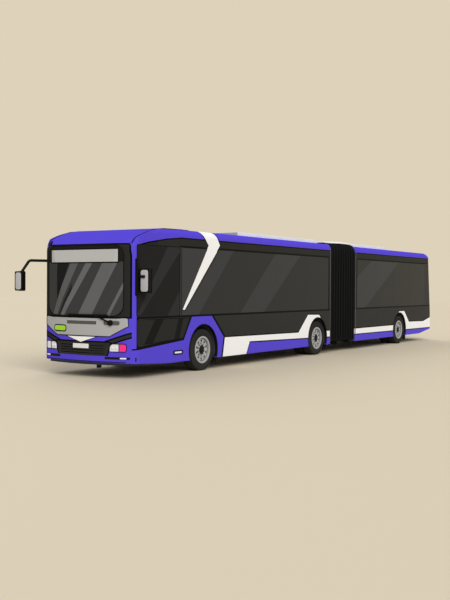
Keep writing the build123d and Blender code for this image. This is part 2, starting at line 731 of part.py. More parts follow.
def rim(axle_x, outer_y, inner_y, spindle_r):
    """A wheel's barrel, face and hub; both ends of the barrel are given in Y, on the left."""
    face_y = outer_y - RIM_FACE_IN
    barrel_in = BEAD_R - RIM_BARREL
    seat_r = BEAD_R - SEAT_GAP
    barrel = [
        (inner_y, barrel_in), (outer_y, barrel_in), (outer_y, BEAD_R + RIM_LIP),
        (outer_y - 12, BEAD_R + RIM_LIP), (outer_y - 12, seat_r), (inner_y, seat_r),
    ]
    face = [
        (face_y - RIM_DISC, 0), (face_y, 0), (face_y, HUB_R + 45), (face_y + 16, HUB_R + 60),
        (face_y + 16, barrel_in + 2), (face_y + 16 - RIM_DISC, barrel_in + 2),
        (face_y + 16 - RIM_DISC, HUB_R + 60), (face_y - RIM_DISC, HUB_R + 45),
    ]
    hub = [(face_y - HUB_LENGTH, 0), (face_y + HUB_CAP, 0), (face_y + HUB_CAP, HUB_R - 20),
           (face_y, HUB_R), (face_y - HUB_LENGTH, HUB_R)]
    wheel = join([spun(points, 0, axle_x) for points in (barrel, face, hub)])
    holes = []
    for i in range(RIM_HOLES):
        angle = radians(360 / RIM_HOLES * (i + 0.5))
        x = axle_x + RIM_HOLE_PCR * cos(angle)
        z = TYRE_R + RIM_HOLE_PCR * sin(angle)
        holes.append(rod((x, face_y - 60, z), (x, face_y + 60, z), RIM_HOLE_R))
    bore_end = face_y - RIM_DISC - 10
    start = (axle_x, face_y - HUB_LENGTH - 10, TYRE_R)
    bore = rod(start, (axle_x, bore_end, TYRE_R), spindle_r + FIT_GAP)
    return wheel.cut(*holes, bore)


OUTER_RIM_Y = WHEEL_Y + TYRE_WIDTH / 2 - 8
SPINDLE_END_Y = OUTER_RIM_Y - RIM_FACE_IN - RIM_DISC - 15


def make_wheels():
    """Six wheel bodies; the middle and rear ones are twins."""
    table = (
        # name, axle X, tyre centres, spindle radius
        ("front", AXLE_1_X, (WHEEL_Y,), SPINDLE_R),
        ("middle", AXLE_2_X, (WHEEL_Y, WHEEL_Y - TWIN_SPACING), TWIN_SPINDLE_R),
        ("rear", AXLE_3_X, (WHEEL_Y, WHEEL_Y - TWIN_SPACING), TWIN_SPINDLE_R),
    )
    for name, axle_x, centres, spindle_r in table:
        inner_y = min(centres) - TYRE_WIDTH / 2 + 14
        left_tyres = [tyre(axle_x, y) for y in centres]
        left_rim = rim(axle_x, OUTER_RIM_Y, inner_y, spindle_r)
        right_tyres = [mirror(shape, about=Plane.XZ) for shape in left_tyres]
        save(f"{name}_left_tyre", *left_tyres)
        save(f"{name}_right_tyre", *right_tyres)
        save(f"{name}_left_rim", left_rim)
        save(f"{name}_right_rim", mirror(left_rim, about=Plane.XZ))


def air_spring(axle_x, y, seat_z):
    """An air spring between an axle's seat and its tower in the wheel box."""
    return rod((axle_x, y, seat_z), (axle_x, y, SPRING_TOP_Z), SPRING_R - 5)


def make_front_axle():
    """Drop-centre beam with kingpins, springs and radius rods; knuckles and tie rod."""
    low, low_top = BEAM_LOW_Z
    high = (TYRE_R - BEAM_HIGH, TYRE_R + BEAM_HIGH)
    rise_start = FRONT_BOX_Y + 35
    half_beam = [
        (0, low), (rise_start + 60, low), (rise_start + 195, high[0]), (KINGPIN_Y, high[0]),
        (KINGPIN_Y, high[1]), (rise_start + 165, high[1]), (rise_start, low_top), (0, low_top),
    ]
    x_pair = (AXLE_1_X - BEAM_DEPTH / 2, AXLE_1_X + BEAM_DEPTH / 2)
    eye_r = 50
    beam = along(half_beam, x_pair)
    end_room = block(EVERY_X, (KINGPIN_Y - 2 * eye_r, 2 * HALF), EVERY_Z)
    neck = block((AXLE_1_X - 45, AXLE_1_X + 45), (KINGPIN_Y - 3 * eye_r, KINGPIN_Y), high)
    eye = rod((AXLE_1_X, KINGPIN_Y, high[0] - 10), (AXLE_1_X, KINGPIN_Y, high[1] + 10), eye_r)
    lug_height = 40
    pin_z = (high[0] - 10 - RUN_GAP - lug_height, high[1] + 10 + RUN_GAP + lug_height)
    pin = rod((AXLE_1_X, KINGPIN_Y, pin_z[0]), (AXLE_1_X, KINGPIN_Y, pin_z[1]), KINGPIN_R)
    seat = block(
        (AXLE_1_X - SPRING_R, AXLE_1_X + SPRING_R),
        (SPRING_Y - SPRING_R, SPRING_Y + SPRING_R),
        (high[1] - 25, high[1] + 20),
    )
    spring = air_spring(AXLE_1_X, SPRING_Y, high[1] + 20)
    radius_rod = rod((AXLE_1_X, 450, 215), (AXLE_1_X + 700, 450, 215), 25)
    hanger = block((AXLE_1_X + 660, AXLE_1_X + 740), (410, 490), (180, UNDERFLOOR_Z))
    half_axle = join([beam - end_room, neck, eye, pin, seat, spring, radius_rod, hanger])
    save("front_axle", join(both_sides(half_axle)))

    web = block((AXLE_1_X - 70, AXLE_1_X + 70), (KINGPIN_Y + eye_r + RUN_GAP, KINGPIN_Y + 96), pin_z)
    lugs = []
    for low_z in (pin_z[0], pin_z[1] - lug_height):
        z_pair = (low_z, low_z + lug_height)
        lugs.append(rod((AXLE_1_X, KINGPIN_Y, z_pair[0]), (AXLE_1_X, KINGPIN_Y, z_pair[1]), eye_r))
        lugs.append(block((AXLE_1_X - 50, AXLE_1_X + 50), (KINGPIN_Y, KINGPIN_Y + 90), z_pair))
    spindle = rod((AXLE_1_X, KINGPIN_Y + 90, TYRE_R), (AXLE_1_X, SPINDLE_END_Y, TYRE_R), SPINDLE_R)
    rod_x = AXLE_1_X - TIE_ROD_X
    arm = join([
        rod((rod_x, TIE_ROD_Y, pin_z[0]), (rod_x, TIE_ROD_Y, pin_z[0] + 30), 22),
        extrude(
            Pos(0, 0, pin_z[0]) * make_face(Polyline(
                (AXLE_1_X - 20, KINGPIN_Y - 40), (AXLE_1_X - 20, KINGPIN_Y + 30),
                (rod_x, TIE_ROD_Y + 20), (rod_x, TIE_ROD_Y - 20), close=True,
            )),
            30,
        ),
    ])
    stud = rod((rod_x, TIE_ROD_Y, TIE_ROD_Z - 22), (rod_x, TIE_ROD_Y, pin_z[0] + 5), 10)
    bore = rod(
        (AXLE_1_X, KINGPIN_Y, pin_z[0] - 10),
        (AXLE_1_X, KINGPIN_Y, pin_z[1] + 10),
        KINGPIN_R + FIT_GAP,
    )
    knuckle = join([web, spindle, arm, stud] + lugs) - bore
    save("knuckle_left", knuckle)
    save("knuckle_right", mirror(knuckle, about=Plane.XZ))

    bar = rod((rod_x, -TIE_ROD_Y, TIE_ROD_Z), (rod_x, TIE_ROD_Y, TIE_ROD_Z), 16)
    ends = []
    holes = []
    for side in (-1, 1):
        y = side * TIE_ROD_Y
        ends.append(rod((rod_x, y, TIE_ROD_Z - 22), (rod_x, y, TIE_ROD_Z + 22), 24))
        holes.append(rod((rod_x, y, TIE_ROD_Z - 30), (rod_x, y, TIE_ROD_Z + 30), 10 + FIT_GAP))
    save("tie_rod", join([bar] + ends).cut(*holes))


def twin_axle(axle_x, driven):
    """A drop-centre axle for twin wheels, with springs, radius rods and portal cases."""
    low, low_top = 150, 270
    high = (TYRE_R - 60, TYRE_R + 60)
    rise = TWIN_BOX_Y + 36
    case_y = WHEEL_Y - 477
    outline = [
        (0, low), (rise + 55, low), (rise + 130, high[0]), (case_y, high[0]), (case_y, high[1]),
        (rise + 75, high[1]), (rise, low_top), (0, low_top),
    ]
    depth = BEAM_DEPTH / 2
    beam = along(outline, (axle_x - depth, axle_x + depth))
    tube = rod((axle_x, case_y - 20, TYRE_R), (axle_x, SPINDLE_END_Y, TYRE_R), TWIN_SPINDLE_R)
    seat = block(
        (axle_x - SPRING_R, axle_x + SPRING_R),
        (TWIN_SPRING_Y - SPRING_R, TWIN_SPRING_Y + SPRING_R),
        (high[1] - 30, high[1] + 20),
    )
    spring = air_spring(axle_x, TWIN_SPRING_Y, high[1] + 20)
    radius_rod = rod((axle_x, 250, 205), (axle_x + 800, 250, 205), 28)
    hanger = block((axle_x + 760, axle_x + 840), (210, 290), (165, UNDERFLOOR_Z))
    pieces = [beam, tube, seat, spring, radius_rod, hanger]
    if driven:
        pieces.append(rod((axle_x, case_y - 100, TYRE_R), (axle_x, case_y, TYRE_R), 170))
    return join(both_sides(join(pieces)))


def make_twin_axles():
    """The plain middle axle and the driven rear axle."""
    save("middle_axle", twin_axle(AXLE_2_X, False))
    driven = twin_axle(AXLE_3_X, True)
    gear_case = rod((AXLE_3_X - 160, 0, 205), (AXLE_3_X + 40, 0, 205), 62)
    save("rear_axle", join([driven, gear_case]))


# ---- Doors -------------------------------------------------------------------------------
def door_leaf(door_x, facing):
    """One leaf and its pane; facing 1 is the front leaf, hinged at its front edge."""
    edge = door_x + facing * (DOOR_WIDTH / 2 - RUN_GAP)
    middle = door_x + facing * DOOR_MEETING_GAP / 2
    z_pair = (FLOOR_Z + 10, DOOR_TOP_Z - 10)
    plate = block((edge, middle), (-HALF, -HALF + DOOR_THICKNESS), z_pair)
    x_pair = sorted((edge - facing * DOOR_FRAME, middle + facing * DOOR_FRAME))
    glass_z = (z_pair[0] + 2 * DOOR_FRAME, z_pair[1] - DOOR_FRAME)
    hole = window_box(x_pair, glass_z, -1)
    post_x = edge - facing * DOOR_POST_INSET
    post_y = -HALF + DOOR_THICKNESS + DOOR_POST_R - DOOR_POST_SINK
    post = rod(
        (post_x, post_y, FLOOR_Z + SEAT_GAP), (post_x, post_y, DOOR_TOP_Z - 15), DOOR_POST_R
    )
    return (plate - hole) + post, pane(x_pair, glass_z, -1)


def make_doors():
    """Three double doors on the right side."""
    for name, door_x in (
        ("front_door", FRONT_DOOR_X), ("middle_door", MIDDLE_DOOR_X), ("rear_door", REAR_DOOR_X)
    ):
        for leaf, facing in (("a", 1), ("b", -1)):
            frame, glass = door_leaf(door_x, facing)
            save(f"{name}_leaf_{leaf}", frame)
            save(f"{name}_glass_{leaf}", glass)


# ---- Inside ------------------------------------------------------------------------------
SEAT_WIDTH = 860
SEAT_PITCH = 760
SEAT_FRONT_ROOM = 685
SEAT_BACK_ROOM = 205
DECK_SEAT_PITCH = 880
SEAT_BACK = 1050


def seat_places(front_x, back_x, door_x):
    """(X, side) of the seat backs between two wheel boxes; none stand before the door."""
    places = []
    x = front_x
    while x >= back_x:
        places.append((x, 1))
        if abs(x + 185 - door_x) > DOOR_WIDTH / 2 + 500:
            places.append((x, -1))
        x -= SEAT_PITCH
    return places


def seat_pair(x, side, base_z):
    """Two seats side by side on one foot, against the wall."""
    outer = INSIDE - 20
    outline = [
        (x, base_z + 400), (x + 430, base_z + 420), (x + 430, base_z + 470), (x + 70, base_z + 460),
        (x, base_z + SEAT_BACK), (x - 60, base_z + SEAT_BACK), (x - 30, base_z + 420),
    ]
    body = across(outline, (side * (outer - SEAT_WIDTH), side * outer))
    foot_y = side * (outer - SEAT_WIDTH / 2)
    foot = block((x + 120, x + 260), (foot_y - 60, foot_y + 60), (base_z, base_z + 430))
    return join([body, foot])


def make_seats():
    """Seats of both sections; the last rows stand on the engine deck."""
    front_x = AXLE_1_X - ARCH_R - SEAT_FRONT_ROOM
    front = seat_places(front_x, AXLE_2_X + ARCH_R + SEAT_BACK_ROOM, MIDDLE_DOOR_X)
    save("front_seats", *[seat_pair(x, side, FLOOR_Z) for x, side in front])
    rear_x = REAR_START_X - 957.5
    rear_places = seat_places(rear_x, AXLE_3_X + ARCH_R + SEAT_BACK_ROOM, REAR_DOOR_X)
    rear = [seat_pair(x, side, FLOOR_Z) for x, side in rear_places]
    x = ENGINE_DECK_X - 715
    while x > TAIL_X + 800:
        rear += [seat_pair(x, side, ENGINE_DECK_Z) for side in (1, -1)]
        x -= DECK_SEAT_PITCH
    save("rear_seats", *rear)


CAB_Y = (330, HALF - 125)
CAB_STEP_Z = 480
DASH_X = NOSE_X - 620
DASH_Z = 1060
COLUMN_TILT = 25
WHEEL_CENTRE = (NOSE_X - 800, 740, 1180)
STEERING_R = 225


def make_cab():
    """Driver's platform, seat, dashboard and partition, and the steering wheel."""
    step = block((NOSE_X - 1750, NOSE_X - 420), CAB_Y, (FLOOR_Z, CAB_STEP_Z))
    dash = block((DASH_X, NOSE_X), (CAB_Y[0] - 200, INSIDE), (CAB_STEP_Z - 140, DASH_Z))
    dash = dash & hull(WALL + 0.5)
    partition = block((NOSE_X - 1790, NOSE_X - 1750), (CAB_Y[0], INSIDE), (FLOOR_Z, 2100))
    seat_x = NOSE_X - 1560
    centre_y = WHEEL_CENTRE[1]
    outline = [
        (seat_x, 900), (seat_x + 480, 920), (seat_x + 480, 1000), (seat_x + 90, 980),
        (seat_x, 1650), (seat_x - 80, 1650), (seat_x - 60, 900),
    ]
    seat = across(outline, (centre_y - 250, centre_y + 250))
    foot = block((seat_x + 80, seat_x + 360), (centre_y - 150, centre_y + 150), (CAB_STEP_Z, 930))
    lean = Vector(-sin(radians(COLUMN_TILT)), 0, cos(radians(COLUMN_TILT)))
    centre = Vector(*WHEEL_CENTRE)
    base = centre - lean * 520
    column = rod(tuple(base), tuple(centre - lean * 40), 35)
    stub = rod(tuple(centre - lean * 60), tuple(centre + lean * 5), 15)
    save("driver_cab", join([step, dash, partition, seat, foot, column, stub]))

    plane = Plane(origin=centre, x_dir=(0, 1, 0), z_dir=lean)
    grip = Plane.XZ * Pos(STEERING_R, 0) * RegularPolygon(15, 6)
    ring = plane * revolve(grip, Axis.Z, 360)
    hub = plane * (Pos(0, 0, -10) * Cylinder(45, 40))
    spokes = [plane * (Rot(0, 0, angle) * Pos(STEERING_R / 2, 0, 0) * Box(STEERING_R, 36, 10))
              for angle in (0, 180, 270)]
    wheel = join([ring, hub] + spokes)
    bore = rod(tuple(centre - lean * 60), tuple(centre + lean * 5.3), 15 + FIT_GAP)
    save("steering_wheel", wheel - bore)


def make_engine():
    """The engine as one plain block on the deck's riser, behind the rear axle."""
    save("engine_block", block((TAIL_X + 420, ENGINE_DECK_X - 40), (-520, 520), (400, 860)))


# ---- Mirrors -----------------------------------------------------------------------------
KERB_HEAD = (110, 205, 410)
DRIVER_HEAD = (110, 230, 490)
KERB_HEAD_Z = 2035
DRIVER_HEAD_X = NOSE_X - 385
DRIVER_HEAD_Z = 2050
MIRROR_EDGE = 35
ARM_R = 30
ARM_BEND = 90
ARM_Z = 2485


def mirror_head(size, centre):
    """A mirror housing with rounded edges."""
    head = Box(*size)
    return Pos(*centre) * fillet(head.edges().filter_by(Axis.X), MIRROR_EDGE)


def bent_tube(points, radius, bend):
    """A round tube along straight runs with equal bends."""
    path = FilletPolyline(*points, radius=bend)
    start = Plane(origin=path @ 0, z_dir=path % 0)
    return sweep(start * Circle(radius), path)


def make_mirrors():
    """Kerb mirror on a long forward arm and driver's mirror on a short one."""
    tip_y = MIRROR_SPAN / 2
    head_y = tip_y - KERB_HEAD[1] / 2
    kerb_x = NOSE_X + MIRROR_REACH - KERB_HEAD[0] / 2
    kerb = mirror_head(KERB_HEAD, (kerb_x, -head_y, KERB_HEAD_Z))
    root = (NOSE_X - 260, 125 - HALF, ARM_Z)
    elbow = (kerb_x - 175, 100 - head_y, ARM_Z)
    arm = bent_tube([root, elbow, (kerb_x, -head_y, KERB_HEAD_Z + 150)], ARM_R, ARM_BEND)
    kerb_arm = arm - OUTER
    biggest = max(kerb_arm.solids(), key=lambda solid: solid.volume)

    driver_y = tip_y - DRIVER_HEAD[1] / 2
    driver = mirror_head(DRIVER_HEAD, (DRIVER_HEAD_X, driver_y, DRIVER_HEAD_Z))
    arm_z = DRIVER_HEAD_Z + 90
    short = rod((DRIVER_HEAD_X + 85, HALF - 80, arm_z), (DRIVER_HEAD_X, driver_y, arm_z), 22)
    bar_x = (DRIVER_HEAD_X + 60, DRIVER_HEAD_X + 105)
    bar = block(bar_x, (HALF - 90, HALF + 28), (1745, 2510))
    stem = join([short - OUTER, bar - OUTER])
    save("mirrors", join([kerb, biggest]), join([driver, stem]))


# ---- Build -------------------------------------------------------------------------------
def main():
    """Write every node."""
    os.makedirs("parts", exist_ok=True)
    make_walls()
    make_roofs()
    make_nose()
    make_tail()
    make_floors()
    make_joint()
    make_bellows()
    make_wheels()
    make_front_axle()
    make_twin_axles()
    make_doors()
    make_seats()
    make_cab()
    make_engine()
    make_mirrors()


main()
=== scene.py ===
# %% [markdown]
# An articulated city bus is two stiff bodies joined by a turntable and a folding bellows.
# The solids are loaded as a fixed frame, so every later piece goes straight to its real
# place in metres. They could be modelled again by eye, but then nothing would fit.

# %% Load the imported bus
import bpy
import bmesh
import json
import math
from mathutils import Matrix, Vector
from mathutils.bvhtree import BVHTree

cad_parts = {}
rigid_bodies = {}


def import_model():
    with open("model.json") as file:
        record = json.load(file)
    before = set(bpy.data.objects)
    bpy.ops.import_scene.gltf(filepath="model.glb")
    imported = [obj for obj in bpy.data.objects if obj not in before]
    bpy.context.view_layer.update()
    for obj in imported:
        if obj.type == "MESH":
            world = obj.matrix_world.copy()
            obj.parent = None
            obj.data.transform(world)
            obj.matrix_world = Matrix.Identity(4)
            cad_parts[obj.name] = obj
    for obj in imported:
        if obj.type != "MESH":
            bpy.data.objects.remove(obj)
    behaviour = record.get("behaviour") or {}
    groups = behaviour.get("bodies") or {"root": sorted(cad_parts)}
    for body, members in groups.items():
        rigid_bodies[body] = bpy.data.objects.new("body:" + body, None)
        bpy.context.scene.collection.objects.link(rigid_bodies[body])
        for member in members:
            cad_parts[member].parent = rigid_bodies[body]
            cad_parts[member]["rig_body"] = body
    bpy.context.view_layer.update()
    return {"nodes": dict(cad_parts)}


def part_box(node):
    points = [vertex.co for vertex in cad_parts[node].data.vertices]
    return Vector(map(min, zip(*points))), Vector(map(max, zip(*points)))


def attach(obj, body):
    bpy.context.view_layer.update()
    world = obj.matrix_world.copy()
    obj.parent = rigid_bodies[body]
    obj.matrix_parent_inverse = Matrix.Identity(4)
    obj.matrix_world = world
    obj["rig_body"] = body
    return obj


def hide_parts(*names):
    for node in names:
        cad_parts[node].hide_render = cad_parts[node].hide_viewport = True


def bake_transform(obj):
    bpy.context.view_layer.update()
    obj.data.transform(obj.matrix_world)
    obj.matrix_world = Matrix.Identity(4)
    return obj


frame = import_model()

NODES = frame["nodes"]

# %% [markdown]
# The bus is seen from its front left corner, from standing height and from far away.
# A long lens keeps the long side straight. The camera's three axes are written as a
# rotation matrix, which is exact, where aiming it with a constraint would only be close.

# %% Camera


def put_in_scene(name, data):
    thing = bpy.data.objects.new(name, data)
    bpy.context.scene.collection.objects.link(thing)
    return thing


VIEW_TURN = math.radians(122.522)
VIEW_RISE = math.radians(0.908)
VIEW_ROLL = math.radians(0.351)
CAMERA_PLACE = Vector((23.018, 12.648, 1.953))
SENSOR_MM = 36.0
LENS_MM = 53.13
SIGHT_LIMIT = 400.0


def camera_axes(turn, rise, roll):
    back = Vector((math.sin(turn) * math.cos(rise), -math.cos(turn) * math.cos(rise), math.sin(rise)))
    right = Vector((math.cos(turn), math.sin(turn), 0.0))
    up = back.cross(right)
    turned_right = right * math.cos(roll) + up * math.sin(roll)
    turned_up = up * math.cos(roll) - right * math.sin(roll)
    return turned_right, turned_up, back


lens = bpy.data.cameras.new("street_camera")
lens.sensor_width = SENSOR_MM
lens.lens = LENS_MM
lens.clip_end = SIGHT_LIMIT
camera = put_in_scene("street_camera", lens)
camera.matrix_world = (
    Matrix.Translation(CAMERA_PLACE)
    @ Matrix(camera_axes(VIEW_TURN, VIEW_RISE, VIEW_ROLL)).transposed().to_4x4()
)
bpy.context.scene.camera = camera
bpy.context.scene.view_settings.view_transform = "Standard"
print("camera stands", round(CAMERA_PLACE.length, 1), "m from the middle of the bus")

# %% [markdown]
# Every finish starts from a few named colours. Screens store colours with a curve, and
# shaders want them straight, so one helper turns the numbers a painter would quote into
# shader values. The colours could be typed in as shader values, but nobody reads those.

# %% Colours


def tone(red, green, blue):
    """A screen colour as the shader wants it."""
    def straight(level):
        level /= 255.0
        return level / 12.92 if level < 0.04045 else ((level + 0.055) / 1.055) ** 2.4
    return (straight(red), straight(green), straight(blue), 1.0)


INDIGO = tone(90, 74, 216)
WHITE = tone(251, 251, 252)
BAND_DARK = tone(44, 43, 41)
PANEL_DARK = tone(50, 50, 50)
GLASS_DARK = tone(40, 39, 37)
TRIM_BLACK = tone(14, 14, 14)
PANEL_GREY = tone(176, 176, 178)
LIME = tone(165, 226, 42)
MAGENTA = tone(255, 45, 150)
print("indigo as a shader value", [round(part, 3) for part in INDIGO])

# %% [markdown]
# A shader is a graph, and wiring it line by line is long. These helpers add a node, feed
# its sockets with numbers or with other sockets, and give back what comes out. Doing it
# by hand in the editor is just as good, but a script can be read and run again.

# %% Shader helpers


def feed(tree, socket, value):
    if isinstance(value, bpy.types.NodeSocket):
        tree.links.new(value, socket)
    else:
        socket.default_value = value


def sums(tree, operation, *values):
    made = tree.nodes.new("ShaderNodeMath")
    made.operation = operation
    for socket, value in zip(made.inputs, values):
        feed(tree, socket, value)
    return made.outputs[0]


def own_place(tree):
    """The place in the object's own metres, which never depends on the camera."""
    return tree.nodes.new("ShaderNodeTexCoord").outputs["Object"]


def vectors(tree, operation, first, second=None):
    made = tree.nodes.new("ShaderNodeVectorMath")
    made.operation = operation
    feed(tree, made.inputs[0], first)
    if second is not None:
        feed(tree, made.inputs[1], second)
    return made


def along(tree, place, direction):
    """How far a place lies along a direction."""
    return vectors(tree, "DOT_PRODUCT", place, direction).outputs["Value"]


def cover(tree, below, above, mask):
    """The colour above where the mask is 1, and the colour below elsewhere."""
    made = tree.nodes.new("ShaderNodeMix")
    made.data_type = "RGBA"
    feed(tree, made.inputs[0], mask)
    feed(tree, made.inputs[6], below)
    feed(tree, made.inputs[7], above)
    return made.outputs[2]


def depth_in(tree, place, corners, plane="XZ"):
    """How deep a place lies inside a convex outline of (across, up) corners."""
    ring = list(corners)
    pairs = list(zip(ring, ring[1:] + ring[:1]))
    if sum(p[0] * q[1] - q[0] * p[1] for p, q in pairs) < 0:
        ring.reverse()
        pairs = list(zip(ring, ring[1:] + ring[:1]))
    nearest = None
    for (across_0, up_0), (across_1, up_1) in pairs:
        length = math.hypot(across_1 - across_0, up_1 - up_0)
        lean = (up_0 - up_1) / length
        rise = (across_1 - across_0) / length
        direction = (lean, 0.0, rise) if plane == "XZ" else (0.0, lean, rise)
        depth = sums(tree, "ADD", along(tree, place, direction), -(lean * across_0 + rise * up_0))
        nearest = depth if nearest is None else sums(tree, "MINIMUM", nearest, depth)
    return nearest


def inside(tree, place, corners, plane="XZ"):
    """1 inside a convex outline, seen along Y or along X."""
    return sums(tree, "GREATER_THAN", depth_in(tree, place, corners, plane), 0.0)


def either(tree, masks):
    joined = masks[0]
    for mask in masks[1:]:
        joined = sums(tree, "MAXIMUM", joined, mask)
    return joined


def new_group(name, inputs, outputs):
    """An empty shader node group with named sockets, and its two end nodes."""
    group = bpy.data.node_groups.new(name, "ShaderNodeTree")
    for direction, sockets in (("INPUT", inputs), ("OUTPUT", outputs)):
        for label, kind, default in sockets:
            socket = group.interface.new_socket(name=label, in_out=direction, socket_type=kind)
            if default is not None:
                socket.default_value = default
    return group, group.nodes.new("NodeGroupInput"), group.nodes.new("NodeGroupOutput")


def use_group(tree, group, **values):
    made = tree.nodes.new("ShaderNodeGroup")
    made.node_tree = group
    for name, value in values.items():
        feed(tree, made.inputs[name.replace("_", " ")], value)
    return made


FLOAT = "NodeSocketFloat"
COLOUR = "NodeSocketColor"
VECTOR = "NodeSocketVector"
print("shader helpers ready")

# %% [markdown]
# The glass of a city bus is tinted so dark that by day it reads as a black sheet with
# long slanting reflections. These reflections are painted into the tint as soft pale and
# dark bands, and the same tint with its painted reflections is printed on the pillars, so
# the windows read as one sheet, as on real buses.

# %% The tint of the windows, with painted reflections
SIDE_REFLECTIONS_AND_STRIPE = (
    # outline as (along, up), paint; all but the last two are painted reflections on the glass, pale and dark,
    # and the last two are the stripe printed over it
    (((8.60, 1.30), (8.60, 2.95), (7.03, 2.95), (7.03, 1.30)), tone(35, 35, 35)),
    (((8.55, 1.34), (8.42, 1.34), (7.03, 2.72), (7.03, 2.95), (7.387, 2.95)), tone(48, 49, 50)),
    (((7.50, 1.29), (7.03, 1.29), (7.03, 1.86)), tone(48, 49, 50)),
    (((7.03, 1.29), (7.03, 2.90), (5.50, 2.90), (6.85, 1.29)), tone(64, 65, 66)),
    (((6.90, 1.29), (6.30, 1.29), (4.70, 2.90), (5.30, 2.90)), tone(64, 65, 66)),
    (((4.50, 1.27), (3.36, 1.27), (1.25, 2.86), (2.66, 2.86)), tone(64, 65, 66)),
    (((-2.30, 2.18), (-3.72, 2.83), (-5.98, 2.83), (-3.07, 1.27), (-2.30, 1.27)), tone(64, 65, 66)),
    (((8.60, 0.60), (6.50, 0.60), (6.50, 1.26), (8.60, 1.26)), tone(44, 44, 43)),
    (((8.40, 0.60), (8.12, 0.60), (7.60, 1.26), (7.92, 1.26)), tone(26, 26, 26)),
    (((7.30, 0.60), (7.12, 0.60), (6.88, 1.26), (7.08, 1.26)), tone(26, 26, 26)),
    (((5.919, 2.862), (5.373, 2.901), (6.837, 1.387), (6.951, 1.406)), TRIM_BLACK),
    (((5.902, 2.862), (5.402, 2.897), (6.850, 1.412), (6.925, 1.425)), WHITE),
)


def glass_paint(painted_bands, plane, dark):
    def painted(tree):
        place = own_place(tree)
        colour = dark
        for outline, light in painted_bands:
            colour = cover(tree, colour, light, inside(tree, place, outline, plane))
        return colour
    return painted


# the glass tint with its painted reflections, printed alike on glass and pillars
def build_side_tint_and_reflections():
    group, _, end = new_group("side_tint_and_reflections", (), (("Colour", COLOUR, None),))
    group.links.new(glass_paint(SIDE_REFLECTIONS_AND_STRIPE, "XZ", tone(54, 54, 53))(group), end.inputs["Colour"])
    return group


SIDE_TINT_AND_REFLECTIONS = build_side_tint_and_reflections()


def tint_and_reflection_paint(tree):
    return use_group(tree, SIDE_TINT_AND_REFLECTIONS).outputs["Colour"]


print("side tint:", len(SIDE_REFLECTIONS_AND_STRIPE), "bands")

# %% [markdown]
# The livery is sprayed over masks that are laid on the body side, so one drawing in the
# side plane colours walls, doors and corners alike, and the edges meet over every seam.
# Each masked field is a convex outline. A field is cut into several where it bends.
# Image textures could carry it too, but an outline stays sharp at any distance.

# %% The side livery
STRIPE = 0.032
LIVERY = (
    # paint, its outlines as (along, up); the dark field of the windows, under the roof band
    ("dark", (((-9.40, 1.285), (8.545, 1.285), (8.545, 2.80), (8.164, 2.88), (7.541, 2.972), (6.994, 3.021),
               (-9.40, 3.021)),)),
    # the tinted band between and round the panes, with the glass's painted reflections on it
    ("tint", (((7.055, 1.262), (-0.48, 1.262), (-0.48, 2.840), (7.055, 2.840)),
              ((-2.395, 1.262), (-9.60, 1.262), (-9.60, 2.840), (-2.395, 2.840)))),
    # the dark lower panels, from the screen pillar back to the tail
    ("panel", (((8.545, 0.640), (6.90, 0.770), (6.577, 1.285), (8.545, 1.285)),
               ((5.734, 1.285), (5.10, 0.660), (4.80, 0.660), (4.80, 1.285)),
               ((5.20, 1.285), (5.20, 0.30), (-9.40, 0.30), (-9.40, 1.285)))),
    # white, from the front axle back and over the middle and rear axles
    ("white", (((5.20, 0.757), (-0.627, 0.69), (-0.627, 0.20), (5.312, 0.20)),
               ((1.443, 0.60), (1.443, 0.70), (0.855, 1.191), (0.137, 1.174), (-0.37, 0.69), (-0.37, 0.60)),
               ((-2.30, 0.684), (-7.00, 0.684), (-7.00, 0.20), (-2.30, 0.20)),
               ((-6.85, 0.76), (-8.52, 0.733), (-8.52, 0.20), (-6.85, 0.20)),
               ((-8.37, 0.733), (-9.40, 0.910), (-9.40, 0.20), (-8.37, 0.20)),
               ((-5.70, 0.60), (-6.005, 1.149), (-6.51, 1.149), (-7.16, 0.60)),
               ((-5.38, 0.62), (-5.90, 0.94), (-6.30, 0.94), (-6.30, 0.62)))),
    # indigo skirts and the front wheel arch
    ("indigo", (((8.70, 0.20), (8.70, 0.628), (6.80, 0.778), (6.80, 0.20)),
                ((6.577, 1.285), (5.734, 1.285), (5.20, 0.757), (5.312, 0.20), (6.95, 0.20), (6.90, 0.770)),
                ((4.221, 0.20), (4.017, 0.574), (-0.627, 0.49), (-0.627, 0.20)),
                ((-2.30, 0.494), (-9.40, 0.465), (-9.40, 0.20), (-2.30, 0.20)))),
    # the bent stripe behind the driver's window
    ("white", (((6.302, 3.26), (5.63, 3.26), (5.373, 2.903), (5.477, 2.795), (5.815, 2.756)),
               ((6.951, 1.406), (6.837, 1.387), (5.373, 2.903), (5.461, 3.025), (5.862, 2.999)))),
)


def paint_layers(group, colour, layers, paints, plane="XZ"):
    """Lays each paint over the ones before, with a fine black line round its edge."""
    place = own_place(group)
    for paint, outlines, *rim in layers:
        depth = None
        for outline in outlines:
            deep = depth_in(group, place, outline, plane)
            depth = deep if depth is None else sums(group, "MAXIMUM", depth, deep)
        colour = cover(group, colour, TRIM_BLACK, sums(group, "GREATER_THAN", depth, 0.0))
        colour = cover(group, colour, paints[paint],
                       sums(group, "GREATER_THAN", depth, rim[0] if rim else STRIPE))
    return colour


PAINTS = {"indigo": INDIGO, "white": WHITE, "dark": BAND_DARK, "panel": PANEL_DARK}


def build_side_livery():
    group, _, end = new_group("side_livery", (), (("Colour", COLOUR, None),))
    colour = paint_layers(group, INDIGO, LIVERY, dict(PAINTS, tint=tint_and_reflection_paint(group)))
    group.links.new(colour, end.inputs["Colour"])
    return group


SIDE_LIVERY = build_side_livery()
print("side livery:", len(LIVERY), "layers of paint,", len(SIDE_LIVERY.nodes), "nodes")

# %% [markdown]
# The face of the bus has its own masks, drawn in the front plane: a black frame round
# the screen, a white chevron, and a dark mouth between the lamps whose arms run out to
# the corners. The same kind of outlines is used, seen along the bus this time.

